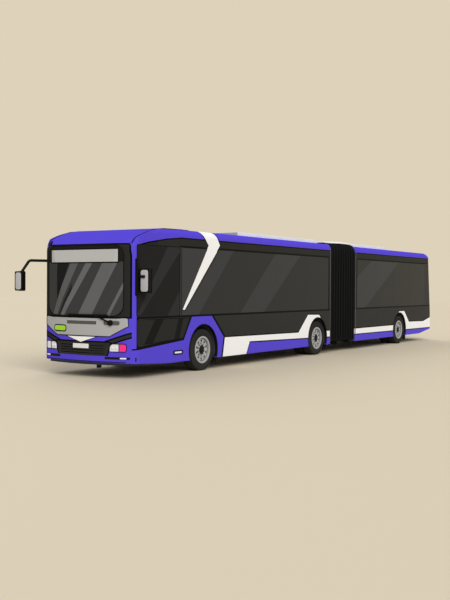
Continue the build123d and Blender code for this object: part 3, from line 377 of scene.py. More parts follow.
# %% The face livery
FACE_LIVERY = (
    # the black frame round the screen; on the far (right) side it covers the whole pillar and the top corner
    # as painted shade
    ("dark", (((-1.30, 1.265), (1.200, 1.265), (1.200, 2.55), (1.165, 2.83), (-1.30, 2.83)),
              ((-1.30, 2.50), (-1.30, 3.05), (-1.17, 3.05), (-0.98, 2.83), (-0.98, 2.50)))),
    ("panel", (((-0.71, 0.475), (0.71, 0.475), (0.74, 0.60), (0.80, 0.785), (-0.80, 0.785), (-0.74, 0.60)),
               ((0.60, 0.785), (0.80, 0.72), (1.40, 0.92), (1.40, 1.045), (1.08, 0.945)),
               ((-0.60, 0.785), (-0.80, 0.72), (-1.40, 0.92), (-1.40, 1.045), (-1.08, 0.945)))),
    ("white", (((-0.47, 0.880), (0.47, 0.880), (0.0, 0.742)),), 0.011),
)


FACE_FROM_X = 8.57


def build_face_livery():
    group, start, end = new_group(
        "face_livery", (("Side", COLOUR, INDIGO),), (("Colour", COLOUR, None),)
    )
    colour = paint_layers(group, INDIGO, FACE_LIVERY, PAINTS, "YZ")
    place = own_place(group)
    forward = sums(group, "GREATER_THAN", along(group, place, (1.0, 0.0, 0.0)), FACE_FROM_X)
    colour = cover(group, start.outputs["Side"], colour, forward)
    group.links.new(colour, end.inputs["Colour"])
    return group


FACE_LIVERY_GROUP = build_face_livery()
print("face livery:", len(FACE_LIVERY), "layers of paint")

# %% [markdown]
# Road vehicles gather a film of dust that is thickest near the road, and their paint has
# a faint ripple called orange peel. Both are needed on many finishes, so each is a group
# with named inputs, built once. Dust could be a second material, but a mask blends better.

# %% Road film and surface ripple


def build_road_film():
    """How much dust lies on a place: a little everywhere, more towards the road."""
    group, start, end = new_group(
        "road_film",
        (("Amount", FLOAT, 0.2), ("Top", FLOAT, 0.9), ("Patch size", FLOAT, 3.0)),
        (("Mask", FLOAT, None),),
    )
    place = own_place(group)
    height = along(group, place, (0.0, 0.0, 1.0))
    nearness = sums(group, "SUBTRACT", 1.0, sums(group, "DIVIDE", height, start.outputs["Top"]))
    nearness.node.use_clamp = True
    patches = group.nodes.new("ShaderNodeTexNoise")
    feed(group, patches.inputs["Vector"], place)
    feed(group, patches.inputs["Scale"], start.outputs["Patch size"])
    patches.inputs["Detail"].default_value = 6.0
    patches.inputs["Roughness"].default_value = 0.62
    mask = sums(group, "MULTIPLY", nearness, patches.outputs["Fac"])
    mask = sums(group, "MULTIPLY", mask, start.outputs["Amount"])
    group.links.new(mask, end.inputs["Mask"])
    return group


def build_ripple():
    """A fine uneven height, and a mottle that varies the sheen."""
    group, start, end = new_group(
        "ripple",
        (("Size", FLOAT, 60.0), ("Mottle size", FLOAT, 4.0)),
        (("Height", FLOAT, None), ("Mottle", FLOAT, None)),
    )
    place = own_place(group)
    for label, size, detail in (("Height", "Size", 2.0), ("Mottle", "Mottle size", 5.0)):
        noise = group.nodes.new("ShaderNodeTexNoise")
        feed(group, noise.inputs["Vector"], place)
        feed(group, noise.inputs["Scale"], start.outputs[size])
        noise.inputs["Detail"].default_value = detail
        group.links.new(noise.outputs["Fac"], end.inputs[label])
    return group


ROAD_FILM = build_road_film()
RIPPLE = build_ripple()
DUST = tone(150, 140, 122)
print("groups:", ", ".join(sorted(group.name for group in bpy.data.node_groups)))

# %% [markdown]
# One recipe makes every hard finish: a colour, a film of dust, a mottle in the sheen and
# a fine bump. What is the same all over is written on the shader itself. Each finish then
# differs in its numbers, as real paint, plastic and steel do.

# %% The recipe for a finish


def finish(name, colour, sheen=0.45, sheen_spread=0.12, metal=0.0, coat=0.0, dust=0.25, dust_top=0.9,
           ripple=60.0, bump=0.02, depth=0.002, gloss=0.1, paint=None):
    material = bpy.data.materials.new(name)
    material.use_nodes = True
    tree = material.node_tree
    shader = tree.nodes["Principled BSDF"]
    base = paint(tree) if paint else colour
    film = use_group(tree, ROAD_FILM, Amount=dust, Top=dust_top)
    surface = use_group(tree, RIPPLE, Size=ripple)
    shade = cover(tree, base, DUST, film.outputs["Mask"])
    feed(tree, shader.inputs["Base Color"], shade)
    spread = sums(tree, "MULTIPLY", surface.outputs["Mottle"], sheen_spread)
    rough = sums(tree, "ADD", spread, sheen - sheen_spread / 2)
    feed(tree, shader.inputs["Roughness"], sums(tree, "ADD", rough, film.outputs["Mask"]))
    shader.inputs["Metallic"].default_value = metal
    shader.inputs["Specular IOR Level"].default_value = gloss
    shader.inputs["Coat Weight"].default_value = coat
    shader.inputs["Coat Roughness"].default_value = 0.12
    relief = tree.nodes.new("ShaderNodeBump")
    relief.inputs["Strength"].default_value = bump
    relief.inputs["Distance"].default_value = depth
    feed(tree, relief.inputs["Height"], surface.outputs["Height"])
    feed(tree, shader.inputs["Normal"], relief.outputs["Normal"])
    return material


def side_paint(tree):
    return use_group(tree, SIDE_LIVERY).outputs["Colour"]


def face_paint(tree):
    side = use_group(tree, SIDE_LIVERY).outputs["Colour"]
    return use_group(tree, FACE_LIVERY_GROUP, Side=side).outputs["Colour"]


SHOULDER_Y = 0.90


def roof_colour(tree):
    """Indigo, with the bent stripe only where the roof rolls over into the sides."""
    place = own_place(tree)
    width = sums(tree, "ABSOLUTE", along(tree, place, (0.0, 1.0, 0.0)))
    shoulder = sums(tree, "GREATER_THAN", width, SHOULDER_Y)
    return cover(tree, INDIGO, use_group(tree, SIDE_LIVERY).outputs["Colour"], shoulder)


body_paint = finish("body_paint", WHITE, sheen=0.40, dust=0.02, gloss=0.03, paint=side_paint)
face_coat = finish("face_coat", INDIGO, sheen=0.40, dust=0.01, gloss=0.0, paint=face_paint)
roof_paint = finish("roof_paint", INDIGO, sheen=0.45, dust=0.0, gloss=0.0, paint=roof_colour)
print("body finishes ready")

# %% [markdown]
# The windscreen has its own painted reflections, slanting pale and dark bands seen from
# the front, and the pale field of the destination display. Real see-through glass would
# show the saloon, which the dark tint hides on the real bus.

# %% Tinted glass with painted reflections
SCREEN_REFLECTIONS_AND_DISPLAY = (
    # outline as (across, up), paint: the glass field, six bands of painted reflection, the dark band over the
    # screen's top, the display's black rim and the display
    (((-1.10, 1.27), (1.10, 1.27), (1.10, 2.46), (-1.10, 2.46)), tone(62, 63, 64)),
    (((-0.745, 2.43), (-0.40, 2.43), (-0.73, 1.60), (-0.745, 1.60)), tone(30, 30, 30)),
    (((-0.30, 1.85), (-0.30, 2.00), (-0.70, 1.27), (-0.60, 1.27)), tone(36, 36, 36)),
    (((0.585, 2.54), (0.970, 2.54), (0.262, 1.28), (-0.120, 1.28)), tone(102, 103, 105)),
    (((0.130, 2.54), (0.325, 2.54), (-0.526, 1.27), (-0.650, 1.27)), tone(105, 106, 108)),
    (((1.16, 2.10), (1.16, 2.24), (0.62, 1.27), (0.70, 1.27)), tone(102, 103, 105)),
    (((-0.31, 2.54), (-0.09, 2.54), (-0.755, 1.27), (-0.90, 1.27)), tone(94, 95, 97)),
    (((-1.20, 2.445), (1.20, 2.445), (1.20, 3.00), (-1.20, 3.00)), tone(32, 31, 30)),
    (((-0.963, 2.417), (0.943, 2.417), (0.943, 2.733), (-0.963, 2.733)), TRIM_BLACK),
    (((-0.935, 2.445), (0.915, 2.445), (0.915, 2.705), (-0.935, 2.705)), tone(190, 190, 190)),
)


# the side glass gets the tint with its painted reflections
side_glass = finish("side_glass", GLASS_DARK, sheen=0.16, sheen_spread=0.05, gloss=0.03, dust=0.0, bump=0.0,
                    paint=tint_and_reflection_paint)
# the windscreen gets its own painted reflections and the display field
screen_glass = finish("screen_glass", GLASS_DARK, sheen=0.14, sheen_spread=0.05, gloss=0.03, dust=0.0,
                      bump=0.0, paint=glass_paint(SCREEN_REFLECTIONS_AND_DISPLAY, "YZ", tone(40, 39, 38)))
print("glass:", len(SIDE_REFLECTIONS_AND_STRIPE), "side bands and", len(SCREEN_REFLECTIONS_AND_DISPLAY), "screen bands")

# %% [markdown]
# The rest are everyday workshop materials. Moulded plastic has a fine grain, castings are
# coarse, rubber is dull and holds dust, and chassis paint is thick and semi-gloss.

# %% Workshop finishes
black_plastic = finish("black_plastic", TRIM_BLACK, sheen=0.52, dust=0.08, ripple=420.0, bump=0.12)
dark_metal = finish("dark_metal", tone(40, 40, 42), sheen=0.5, metal=0.35, dust=0.35, ripple=90.0, bump=0.1)
grey_plastic = finish("grey_plastic", PANEL_GREY, sheen=0.46, dust=0.05, ripple=300.0, bump=0.05)


def unit_paint(tree):
    place = own_place(tree)
    nose = inside(tree, place, ((4.11, 3.00), (5.10, 3.00), (5.10, 3.40), (4.11, 3.40)))
    return cover(tree, tone(240, 240, 240), tone(170, 170, 172), nose)


unit_white = finish("unit_white", WHITE, sheen=0.5, dust=0.0, ripple=140.0, bump=0.05, paint=unit_paint)
tyre_black = finish("tyre_black", tone(42, 42, 43), sheen=0.85, dust=0.10, dust_top=1.1, gloss=0.04,
                    ripple=180.0, bump=0.25)
rim_paint = finish("rim_paint", tone(176, 176, 178), sheen=0.5, dust=0.05, ripple=120.0, bump=0.06)
nut_steel = finish("nut_steel", tone(205, 205, 208), sheen=0.4, dust=0.05, ripple=240.0, bump=0.1)
hub_black = finish("hub_black", tone(22, 22, 23), sheen=0.5, dust=0.05, ripple=160.0, bump=0.08)
rubber_trim = finish("rubber_trim", tone(12, 12, 12), sheen=0.7, dust=0.1, ripple=300.0, bump=0.2)
cast_iron = finish("cast_iron", tone(74, 72, 70), sheen=0.7, metal=0.6, dust=0.5, ripple=200.0, bump=0.5)
chassis_coat = finish("chassis_coat", tone(34, 34, 36), sheen=0.55, dust=0.6, ripple=45.0, bump=0.2)
saloon_floor = finish("saloon_floor", tone(70, 72, 78), sheen=0.72, dust=0.0, ripple=900.0, bump=0.35)
seat_shell = finish("seat_shell", tone(58, 60, 92), sheen=0.5, dust=0.0, ripple=500.0, bump=0.08)
cab_panel = finish("cab_panel", tone(92, 93, 96), sheen=0.6, dust=0.0, ripple=380.0, bump=0.18)
bellows_skin = finish("bellows_skin", tone(15, 15, 16), sheen=0.75, dust=0.0, gloss=0.05, ripple=260.0,
                      bump=0.3)
tail_red = finish("tail_red", tone(196, 24, 30), sheen=0.18, coat=0.8, dust=0.05, bump=0.0)
lamp_magenta = finish("lamp_magenta", MAGENTA, sheen=0.16, coat=0.4, dust=0.0, bump=0.0)
lens_glass = finish("lens_glass", tone(240, 242, 246), sheen=0.08, coat=0.6, dust=0.0, bump=0.0)
lime_lens = finish("lime_lens", LIME, sheen=0.2, coat=0.4, dust=0.0, bump=0.0)
plate_white = finish("plate_white", tone(238, 238, 236), sheen=0.4, dust=0.05, ripple=200.0, bump=0.03)
slot_grey = finish("slot_grey", tone(88, 88, 88), sheen=0.5, dust=0.05, ripple=200.0, bump=0.05)
fairing_grey = finish("fairing_grey", tone(206, 206, 208), sheen=0.5, dust=0.0, ripple=140.0, bump=0.05)
frame_grey = finish("frame_grey", tone(96, 96, 98), sheen=0.4, metal=0.3, dust=0.1, ripple=140.0, bump=0.05)
vent_dark = finish("vent_dark", tone(40, 40, 42), sheen=0.6, dust=0.1, ripple=200.0, bump=0.1)
mirror_silver = finish("mirror_silver", tone(214, 216, 220), sheen=0.06, sheen_spread=0.02, metal=1.0,
                       dust=0.0, bump=0.0)
rail_steel = finish("rail_steel", tone(176, 178, 182), sheen=0.28, metal=0.85, dust=0.0, ripple=320.0,
                    bump=0.04)
hoop_rubber = finish("hoop_rubber", tone(38, 38, 39), sheen=0.7, dust=0.0, gloss=0.05, ripple=260.0,
                     bump=0.15)
lamp_clear = finish("lamp_clear", tone(232, 232, 236), sheen=0.12, coat=0.8, dust=0.03, bump=0.0)
print("finishes:", len(bpy.data.materials))

# %% [markdown]
# Each solid gets its finish by name. A table is easier to check than many calls, and a
# name that is missing stops the script at once.

# %% Dress the solids
WHEELS = [f"{axle}_{side}" for axle in ("front", "middle", "rear") for side in ("left", "right")]
FINISH_OF = {
    body_paint: ("front_left_wall", "front_right_wall", "rear_left_wall", "rear_right_wall", "tail_shell",
                 "engine_lid", "front_door_leaf_a", "front_door_leaf_b", "middle_door_leaf_a",
                 "middle_door_leaf_b", "rear_door_leaf_a", "rear_door_leaf_b"),
    face_coat: ("nose_shell",),
    roof_paint: ("front_roof", "rear_roof"),
    side_glass: ("front_side_glass", "rear_glass", "front_door_glass_a", "front_door_glass_b",
                 "middle_door_glass_a", "middle_door_glass_b", "rear_door_glass_a", "rear_door_glass_b"),
    screen_glass: ("windscreen",),
    unit_white: ("front_roof_unit", "rear_roof_unit"),
    grey_plastic: ("nose_panel",),
    vent_dark: ("nose_grille",),
    black_plastic: ("wiper", "mirrors", "steering_wheel"),
    lamp_clear: ("headlamps",),
    tail_red: ("tail_lamps",),
    saloon_floor: ("front_floor", "rear_floor"),
    chassis_coat: ("front_axle", "middle_axle", "rear_axle", "tie_rod"),
    cast_iron: ("knuckle_left", "knuckle_right", "engine_block"),
    seat_shell: ("front_seats", "rear_seats"),
    cab_panel: ("driver_cab",),
    dark_metal: ("front_portal", "rear_portal"),
    bellows_skin: ("bellows",),
    tyre_black: tuple(f"{wheel}_tyre" for wheel in WHEELS),
    rim_paint: tuple(f"{wheel}_rim" for wheel in WHEELS),
}


def dress(piece, material):
    piece.data.materials.clear()
    piece.data.materials.append(material)


for material, names in FINISH_OF.items():
    for name in names:
        dress(NODES[name], material)
bare = sorted(set(NODES) - {name for names in FINISH_OF.values() for name in names})
print("solids still bare:", bare)
assert not bare

# %% [markdown]
# Everything that is added from here on is a mesh written straight into its real place.
# Thin parts have to lie on the curved body, so a ray is shot at the solids from outside
# and the hit is used. Measuring the surface beats guessing its radius.

# %% Measure the body's surface
RAY_START = 15.0


def skin_of(*names):
    """A search tree over the triangles of some solids."""
    corners, faces = [], []
    for name in names:
        mesh = NODES[name].data
        shift = len(corners)
        corners += [vertex.co.copy() for vertex in mesh.vertices]
        faces += [[shift + index for index in polygon.vertices] for polygon in mesh.polygons]
    return BVHTree.FromPolygons(corners, faces)


FRONT_SKIN = skin_of("nose_shell", "windscreen", "nose_panel", "nose_grille", "headlamps", "front_left_wall",
                     "front_right_wall", "front_side_glass", "front_roof")
REAR_SKIN = skin_of("tail_shell", "engine_lid", "rear_left_wall", "rear_right_wall", "rear_glass",
                    "rear_roof")
LOOKS = {"face": Vector((-1, 0, 0)), "tail": Vector((1, 0, 0)), "left": Vector((0, -1, 0)),
         "right": Vector((0, 1, 0)), "top": Vector((0, 0, -1))}


def flat_place(look, across, up):
    """A place in the plane that a look is at right angles to."""
    if look in ("face", "tail"):
        return Vector((0.0, across, up))
    return Vector((across, 0.0, up)) if look in ("left", "right") else Vector((across, up, 0.0))


def on_skin(skin, look, across, up, out=0.0):
    """The place on the body that is seen at (across, up), moved outwards."""
    direction = LOOKS[look]
    start = flat_place(look, across, up) - direction * RAY_START
    hit = skin.ray_cast(start, direction)[0]
    assert hit is not None, (look, across, up)
    return hit - direction * out


print("middle of the screen at X", round(on_skin(FRONT_SKIN, "face", 0.0, 1.6).x, 4))

# %% [markdown]
# Meshes come from bmesh, which is Blender's own modelling kit for scripts. A plate is cut
# from its outline, sliced so that it can bend, and laid on the body. A Shrinkwrap
# modifier would do this too, but it leaves no thickness.

# %% Mesh helpers


def closed_mesh(name, work):
    bmesh.ops.recalc_face_normals(work, faces=work.faces)
    if work.calc_volume(signed=True) < 0:
        bmesh.ops.reverse_faces(work, faces=work.faces)
    mesh = bpy.data.meshes.new(name)
    work.to_mesh(mesh)
    work.free()
    return mesh


def to_piece(name, mesh, material, body, replaced=(), crease=35.0):
    """Puts a finished mesh in the scene, dressed, smoothed and riding on its body."""
    mesh.materials.clear()
    mesh.materials.append(material)
    mesh.polygons.foreach_set("use_smooth", [True] * len(mesh.polygons))
    mesh.set_sharp_from_angle(angle=math.radians(crease))
    piece = put_in_scene(name, mesh)
    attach(piece, body)
    if replaced:
        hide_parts(*replaced)
    print(name, "has", len(mesh.polygons), "faces")
    return piece


def rounded(corners, radius, steps=4):
    """A polygon with its corners rounded."""
    ring = []
    for index, corner in enumerate(corners):
        here = Vector(corner)
        back = Vector(corners[index - 1]) - here
        ahead = Vector(corners[(index + 1) % len(corners)]) - here
        reach = min(radius / math.tan(back.angle(ahead) / 2), back.length * 0.49, ahead.length * 0.49)
        start = here + back.normalized() * reach
        end = here + ahead.normalized() * reach
        for step in range(steps + 1):
            t = step / steps
            ring.append(tuple(start * (1 - t) ** 2 + here * 2 * t * (1 - t) + end * t ** 2))
    return ring


def box_outline(across, up):
    return [(across[0], up[0]), (across[1], up[0]), (across[1], up[1]), (across[0], up[1])]


def soft_box(across, up, radius, steps=4):
    """A box outline with rounded corners."""
    return rounded(box_outline(across, up), radius, steps)


def lay_plate(work, outline, place, lift, sink=0.004, cut=0.1, edge=0.0):
    """Adds a closed plate to work; place(across, up, out) says where the body is."""
    flat = bmesh.new()
    flat.faces.new([flat.verts.new((across, up, 0.0)) for across, up in outline])
    low = min(across for across, _ in outline)
    high = max(across for across, _ in outline)
    slices = max(1, math.ceil((high - low) / cut))
    for index in range(1, slices):
        where = low + (high - low) * index / slices
        bmesh.ops.bisect_plane(flat, geom=flat.verts[:] + flat.edges[:] + flat.faces[:],
                               plane_co=(where, 0, 0), plane_no=(1, 0, 0))
    if edge:
        bmesh.ops.inset_region(flat, faces=flat.faces[:], thickness=edge, use_boundary=True)
    rim = {vert for line in flat.edges if line.is_boundary for vert in line.verts}
    top, foot = {}, {}
    for vert in flat.verts:
        rise = lift - (edge if vert in rim else 0.0)
        top[vert] = work.verts.new(place(vert.co.x, vert.co.y, rise))
        foot[vert] = work.verts.new(place(vert.co.x, vert.co.y, -sink))
    for face in flat.faces:
        work.faces.new([top[vert] for vert in face.verts])
        work.faces.new([foot[vert] for vert in reversed(face.verts)])
    for line in flat.edges:
        if line.is_boundary:
            one, two = line.verts
            work.faces.new((top[one], foot[one], foot[two], top[two]))
    flat.free()


def plates(name, outlines, skin, look, lift, material, body, sink=0.004, edge=0.0, cut=0.1):
    work = bmesh.new()
    for outline in outlines:
        lay_plate(work, outline, lambda across, up, out: on_skin(skin, look, across, up, out), lift, sink,
                  cut, edge)
    return to_piece(name, closed_mesh(name, work), material, body)


def block(work, low, high):
    """A box between two corners."""
    size = [b - a for a, b in zip(low, high)]
    middle = [(a + b) / 2 for a, b in zip(low, high)]
    made = bmesh.ops.create_cube(work, size=1.0)
    for vert in made["verts"]:
        vert.co = Vector([vert.co[axis] * size[axis] + middle[axis] for axis in range(3)])
    return made["verts"]


def soft_block(work, low, high, radius, segments=2):
    """A box with rounded edges."""
    verts = block(work, low, high)
    edges = list({line for vert in verts for line in vert.link_edges})
    bmesh.ops.bevel(work, geom=edges, offset=radius, segments=segments, affect="EDGES", profile=0.5)


def circle(count):
    """Points (cosine, sine) at even steps round a circle."""
    turns = [2 * math.pi * index / count for index in range(count)]
    return [(math.cos(turn), math.sin(turn)) for turn in turns]


def bridge(work, one, two):
    """A band of faces from one closed loop of corners to the next."""
    for index in range(len(one)):
        after = (index + 1) % len(one)
        work.faces.new((one[index], one[after], two[after], two[index]))


def prism(work, foot, crown):
    """A closed body between two loops of corners."""
    work.faces.new(foot)
    work.faces.new(crown)
    bridge(work, foot, crown)


def flipped(mesh, name):
    """The mesh on the other side of the bus."""
    work = bmesh.new()
    work.from_mesh(mesh)
    for vert in work.verts:
        vert.co.y = -vert.co.y
    bmesh.ops.reverse_faces(work, faces=work.faces)
    copy = bpy.data.meshes.new(name)
    work.to_mesh(copy)
    work.free()
    return copy


print("mesh helpers ready")

# %% [markdown]
# Rubber seals, rails and rims all are a round bar along some path. One Geometry Nodes
# tree makes them all: the path's edges become a curve, and a circle is swept along it.
# Curve objects with a bevel look the same, but a tree keeps the radius as a named input.

# %% Geometry Nodes helpers
GEOMETRY = "NodeSocketGeometry"


def new_rule(name, inputs):
    """An empty Geometry Nodes tree with named inputs, and its two end nodes."""
    tree = bpy.data.node_groups.new(name, "GeometryNodeTree")
    tree.interface.new_socket(name="Geometry", in_out="INPUT", socket_type=GEOMETRY)
    for label, kind, default in inputs:
        socket = tree.interface.new_socket(name=label, in_out="INPUT", socket_type=kind)
        if default is not None:
            socket.default_value = default
    tree.interface.new_socket(name="Geometry", in_out="OUTPUT", socket_type=GEOMETRY)
    return tree, tree.nodes.new("NodeGroupInput"), tree.nodes.new("NodeGroupOutput")


def step(tree, kind, settings=None, **sockets):
    made = tree.nodes.new(kind)
    for key, value in (settings or {}).items():
        setattr(made, key, value)
    for label, value in sockets.items():
        feed(tree, made.inputs[label.replace("_", " ")], value)
    return made


def end_rule(tree, geometry, start, end):
    whole = step(tree, "GeometryNodeRealizeInstances", Geometry=geometry)
    dressed = step(tree, "GeometryNodeSetMaterial", Geometry=whole.outputs[0],
                   Material=start.outputs["Finish"])
    tree.links.new(dressed.outputs[0], end.inputs[0])
    return tree


def shaped(name, seed, tree, **values):
    """The plain mesh that a tree makes from a starting mesh."""
    holder = put_in_scene(name + "_seed", seed)
    rule = holder.modifiers.new("rule", "NODES")
    rule.node_group = tree
    sockets = {item.name: item.identifier for item in tree.interface.items_tree if item.in_out == "INPUT"}
    for label, value in values.items():
        rule[sockets[label.replace("_", " ")]] = value
    bpy.context.view_layer.update()
    seen = holder.evaluated_get(bpy.context.evaluated_depsgraph_get())
    mesh = bpy.data.meshes.new_from_object(seen)
    mesh.name = name
    bpy.data.objects.remove(holder)
    return mesh


def build_round_strip():
    tree, start, end = new_rule("round_strip", (("Radius", FLOAT, 0.01), ("Sides", "NodeSocketInt", 8),
                                                ("Finish", "NodeSocketMaterial", None)))
    path = step(tree, "GeometryNodeMeshToCurve", Mesh=start.outputs["Geometry"])
    ring = step(tree, "GeometryNodeCurvePrimitiveCircle", Resolution=start.outputs["Sides"],
                Radius=start.outputs["Radius"])
    bar = step(tree, "GeometryNodeCurveToMesh", Curve=path.outputs[0], Profile_Curve=ring.outputs[0])
    bar.inputs["Fill Caps"].default_value = True
    return end_rule(tree, bar.outputs[0], start, end)


def build_round_of():
    """Copies of one small mesh in a ring round a wheel's axle."""
    tree, start, end = new_rule("round_of", (("Count", "NodeSocketInt", 10), ("Radius", FLOAT, 0.2),
                                             ("Centre", VECTOR, (0.0, 0.0, 0.0)), ("Turn", FLOAT, 0.0),
                                             ("Finish", "NodeSocketMaterial", None)))
    ring = step(tree, "GeometryNodeMeshCircle", Vertices=start.outputs["Count"],
                Radius=start.outputs["Radius"])
    stood = step(tree, "GeometryNodeTransform", Geometry=ring.outputs[0])
    stood.inputs["Rotation"].default_value = (math.radians(90), 0.0, 0.0)
    index = step(tree, "GeometryNodeInputIndex")
    pitch = step(tree, "ShaderNodeMath", {"operation": "DIVIDE"})
    feed(tree, pitch.inputs[0], -2 * math.pi)
    feed(tree, pitch.inputs[1], start.outputs["Count"])
    angle = step(tree, "ShaderNodeMath", {"operation": "MULTIPLY"})
    feed(tree, angle.inputs[0], index.outputs[0])
    feed(tree, angle.inputs[1], pitch.outputs[0])
    turn = step(tree, "ShaderNodeCombineXYZ", Y=angle.outputs[0])
    copies = step(tree, "GeometryNodeInstanceOnPoints", Points=stood.outputs[0],
                  Instance=start.outputs["Geometry"], Rotation=turn.outputs[0])
    tilt = step(tree, "ShaderNodeCombineXYZ", Y=start.outputs["Turn"])
    placed = step(tree, "GeometryNodeTransform", Geometry=copies.outputs[0],
                  Translation=start.outputs["Centre"], Rotation=tilt.outputs[0])
    return end_rule(tree, placed.outputs[0], start, end)


def build_row_of():
    """Copies of one small mesh in a row."""
    tree, start, end = new_rule("row_of", (("Count", "NodeSocketInt", 5), ("Start", VECTOR, (0.0, 0.0, 0.0)),
                                           ("Step", VECTOR, (0.1, 0.0, 0.0)),
                                           ("Finish", "NodeSocketMaterial", None)))
    row = step(tree, "GeometryNodeMeshLine", Count=start.outputs["Count"])
    feed(tree, row.inputs["Start Location"], start.outputs["Start"])
    feed(tree, row.inputs["Offset"], start.outputs["Step"])
    copies = step(tree, "GeometryNodeInstanceOnPoints", Points=row.outputs[0],
                  Instance=start.outputs["Geometry"])
    return end_rule(tree, copies.outputs[0], start, end)


ROUND_STRIP = build_round_strip()
ROUND_OF = build_round_of()
ROW_OF = build_row_of()


def path_mesh(paths):
    """One mesh of bare edges; each path is (points, closed)."""
    corners, edges = [], []
    for points, closed in paths:
        first = len(corners)
        corners += [tuple(point) for point in points]
        edges += [(first + i, first + i + 1) for i in range(len(points) - 1)]
        if closed:
            edges.append((len(corners) - 1, first))
    mesh = bpy.data.meshes.new("path")
    mesh.from_pydata(corners, edges, [])
    return mesh


def strips(name, paths, radius, material, body, sides=8):
    mesh = shaped(name, path_mesh(paths), ROUND_STRIP, Radius=radius, Sides=sides, Finish=material)
    return to_piece(name, mesh, material, body, crease=60.0)


def rubber_strips(name, paths, radius, body, sides=8):
    return strips(name, paths, radius, rubber_trim, body, sides)


print("rules:", ROUND_STRIP.name, ROUND_OF.name, ROW_OF.name)

# %% [markdown]
# A bus tyre has a flat tread cut by four round grooves, square shoulders and full side
# walls with a rim guard. Its section is drawn once and spun round the axle. The rubber
# blocks on the shoulders are repeated by Geometry Nodes, because they are all alike.

# %% Tyres
AXLES = {"front": 6.085, "middle": 0.235, "rear": -6.065}
TYRE_R = 0.480
WHEEL_Y = 1.117
TWIN_STEP = 0.321
TYRE_STEPS = 80
TREAD_COUNT = 72
TREAD_R = 0.4760
TREAD_OUT = 0.0950
TREAD_STAGGER = 0.04
TYRE_SECTION = [
    # across from the tyre's middle, radius; one half, from the bead to the middle
    (0.104, 0.2903), (0.1155, 0.296), (0.122, 0.312), (0.1275, 0.316), (0.1285, 0.324), (0.1265, 0.330),
    (0.134, 0.350), (0.1372, 0.372), (0.1380, 0.392), (0.1372, 0.396), (0.1380, 0.400), (0.1365, 0.418),
    (0.131, 0.442), (0.123, 0.462), (0.116, 0.4705), (0.109, 0.4740), (0.0800, 0.4765), (0.0790, 0.4660),
    (0.0710, 0.4660), (0.0700, 0.4790), (0.0330, 0.4797), (0.0320, 0.4660), (0.0240, 0.4660),
    (0.0230, 0.4800),
]


def spun(work, profile, axle_x, turns):
    """Spins a section of (Y, radius) points round a wheel's axle."""
    rings = [[work.verts.new((axle_x + r * ahead, y, TYRE_R + r * up)) for y, r in profile]
             for ahead, up in circle(turns)]
    for one, two in zip(rings, rings[1:] + rings[:1]):
        bridge(work, one, two)


def tyre_mesh(name, axle_x, centres):
    work = bmesh.new()
    section = TYRE_SECTION + [(-y, r) for y, r in reversed(TYRE_SECTION)]
    for centre in centres:
        spun(work, [(centre + y, r) for y, r in section], axle_x, TYRE_STEPS)
    return closed_mesh(name, work)


def tread_block():
    """One shoulder block: X points away from the axle, Y across the tyre."""
    work = bmesh.new()
    rise, depth, width, length = 0.0040, 0.006, 0.0150, 0.0175
    foot = [(-depth, -width, -length / 2), (-depth, width, -length / 2),
            (-depth, width, length / 2), (-depth, -width, length / 2)]
    skew = 0.004
    crown = [(rise, -width, -length / 2 + 0.002), (rise - 0.0015, width, -length / 2 + 0.002 + skew),
             (rise - 0.0015, width, length / 2 - 0.002 + skew), (rise, -width, length / 2 - 0.002)]
    low = [work.verts.new(point) for point in foot]
    high = [work.verts.new(point) for point in crown]
    prism(work, low, high)
    return closed_mesh("tread_block", work)


def joined(name, meshes):
    work = bmesh.new()
    for mesh in meshes:
        work.from_mesh(mesh)
    whole = bpy.data.meshes.new(name)
    work.to_mesh(whole)
    work.free()
    return whole


for axle, axle_x in AXLES.items():
    centres = [WHEEL_Y] if axle == "front" else [WHEEL_Y, WHEEL_Y - TWIN_STEP]
    name = f"{axle}_left_tyre_rubber"
    rubber = tyre_mesh(name, axle_x, centres)
    rows = []
    for centre in centres:
        for side in (1, -1):
            seed = tread_block() if side > 0 else flipped(tread_block(), "tread_block")
            rows.append(shaped("row", seed, ROUND_OF, Count=TREAD_COUNT, Radius=TREAD_R,
                               Turn=0.0 if side > 0 else TREAD_STAGGER,
                               Centre=(axle_x, centre + side * TREAD_OUT, TYRE_R), Finish=tyre_black))
    left = joined(name, [rubber] + rows)
    right = flipped(left, f"{axle}_right_tyre_rubber")
    for side, mesh in (("left", left), ("right", right)):
        to_piece(f"{axle}_{side}_tyre_rubber", mesh, tyre_black, f"{axle}_{side}_wheel",
                 [f"{axle}_{side}_tyre"], crease=28.0)

# %% [markdown]
# Each steel wheel is held by ten nuts round a dark hub. The nuts stand on washers, and a
# domed cap closes the bearing. They are set out by the same ring rule as the tread.

# %% Wheel nuts, hub caps and rim rings
RIM_FACE_Y = 1.192
HUB_STEPS = 48
RIM_STEPS = 64
VENT_COUNT = 10
VENT_RING_R = 0.205
VENT_R = 0.027
VENT_STEPS = 16
NUT_COUNT = 10
NUT_RING_R = 0.1320


def wheel_nut():
    """A nut on its washer; Y points out of the wheel."""
    work = bmesh.new()
    for radius, low, high, sides in ((0.0205, -0.002, 0.005, 16), (0.0160, 0.005, 0.024, 6),
                                     (0.0105, 0.024, 0.032, 10)):
        foot = [work.verts.new((radius * ahead, low, radius * up)) for ahead, up in circle(sides)]
        crown = [work.verts.new((vert.co.x * 0.9, high, vert.co.z * 0.9)) for vert in foot]
        prism(work, foot, crown)
    return closed_mesh("wheel_nut", work)


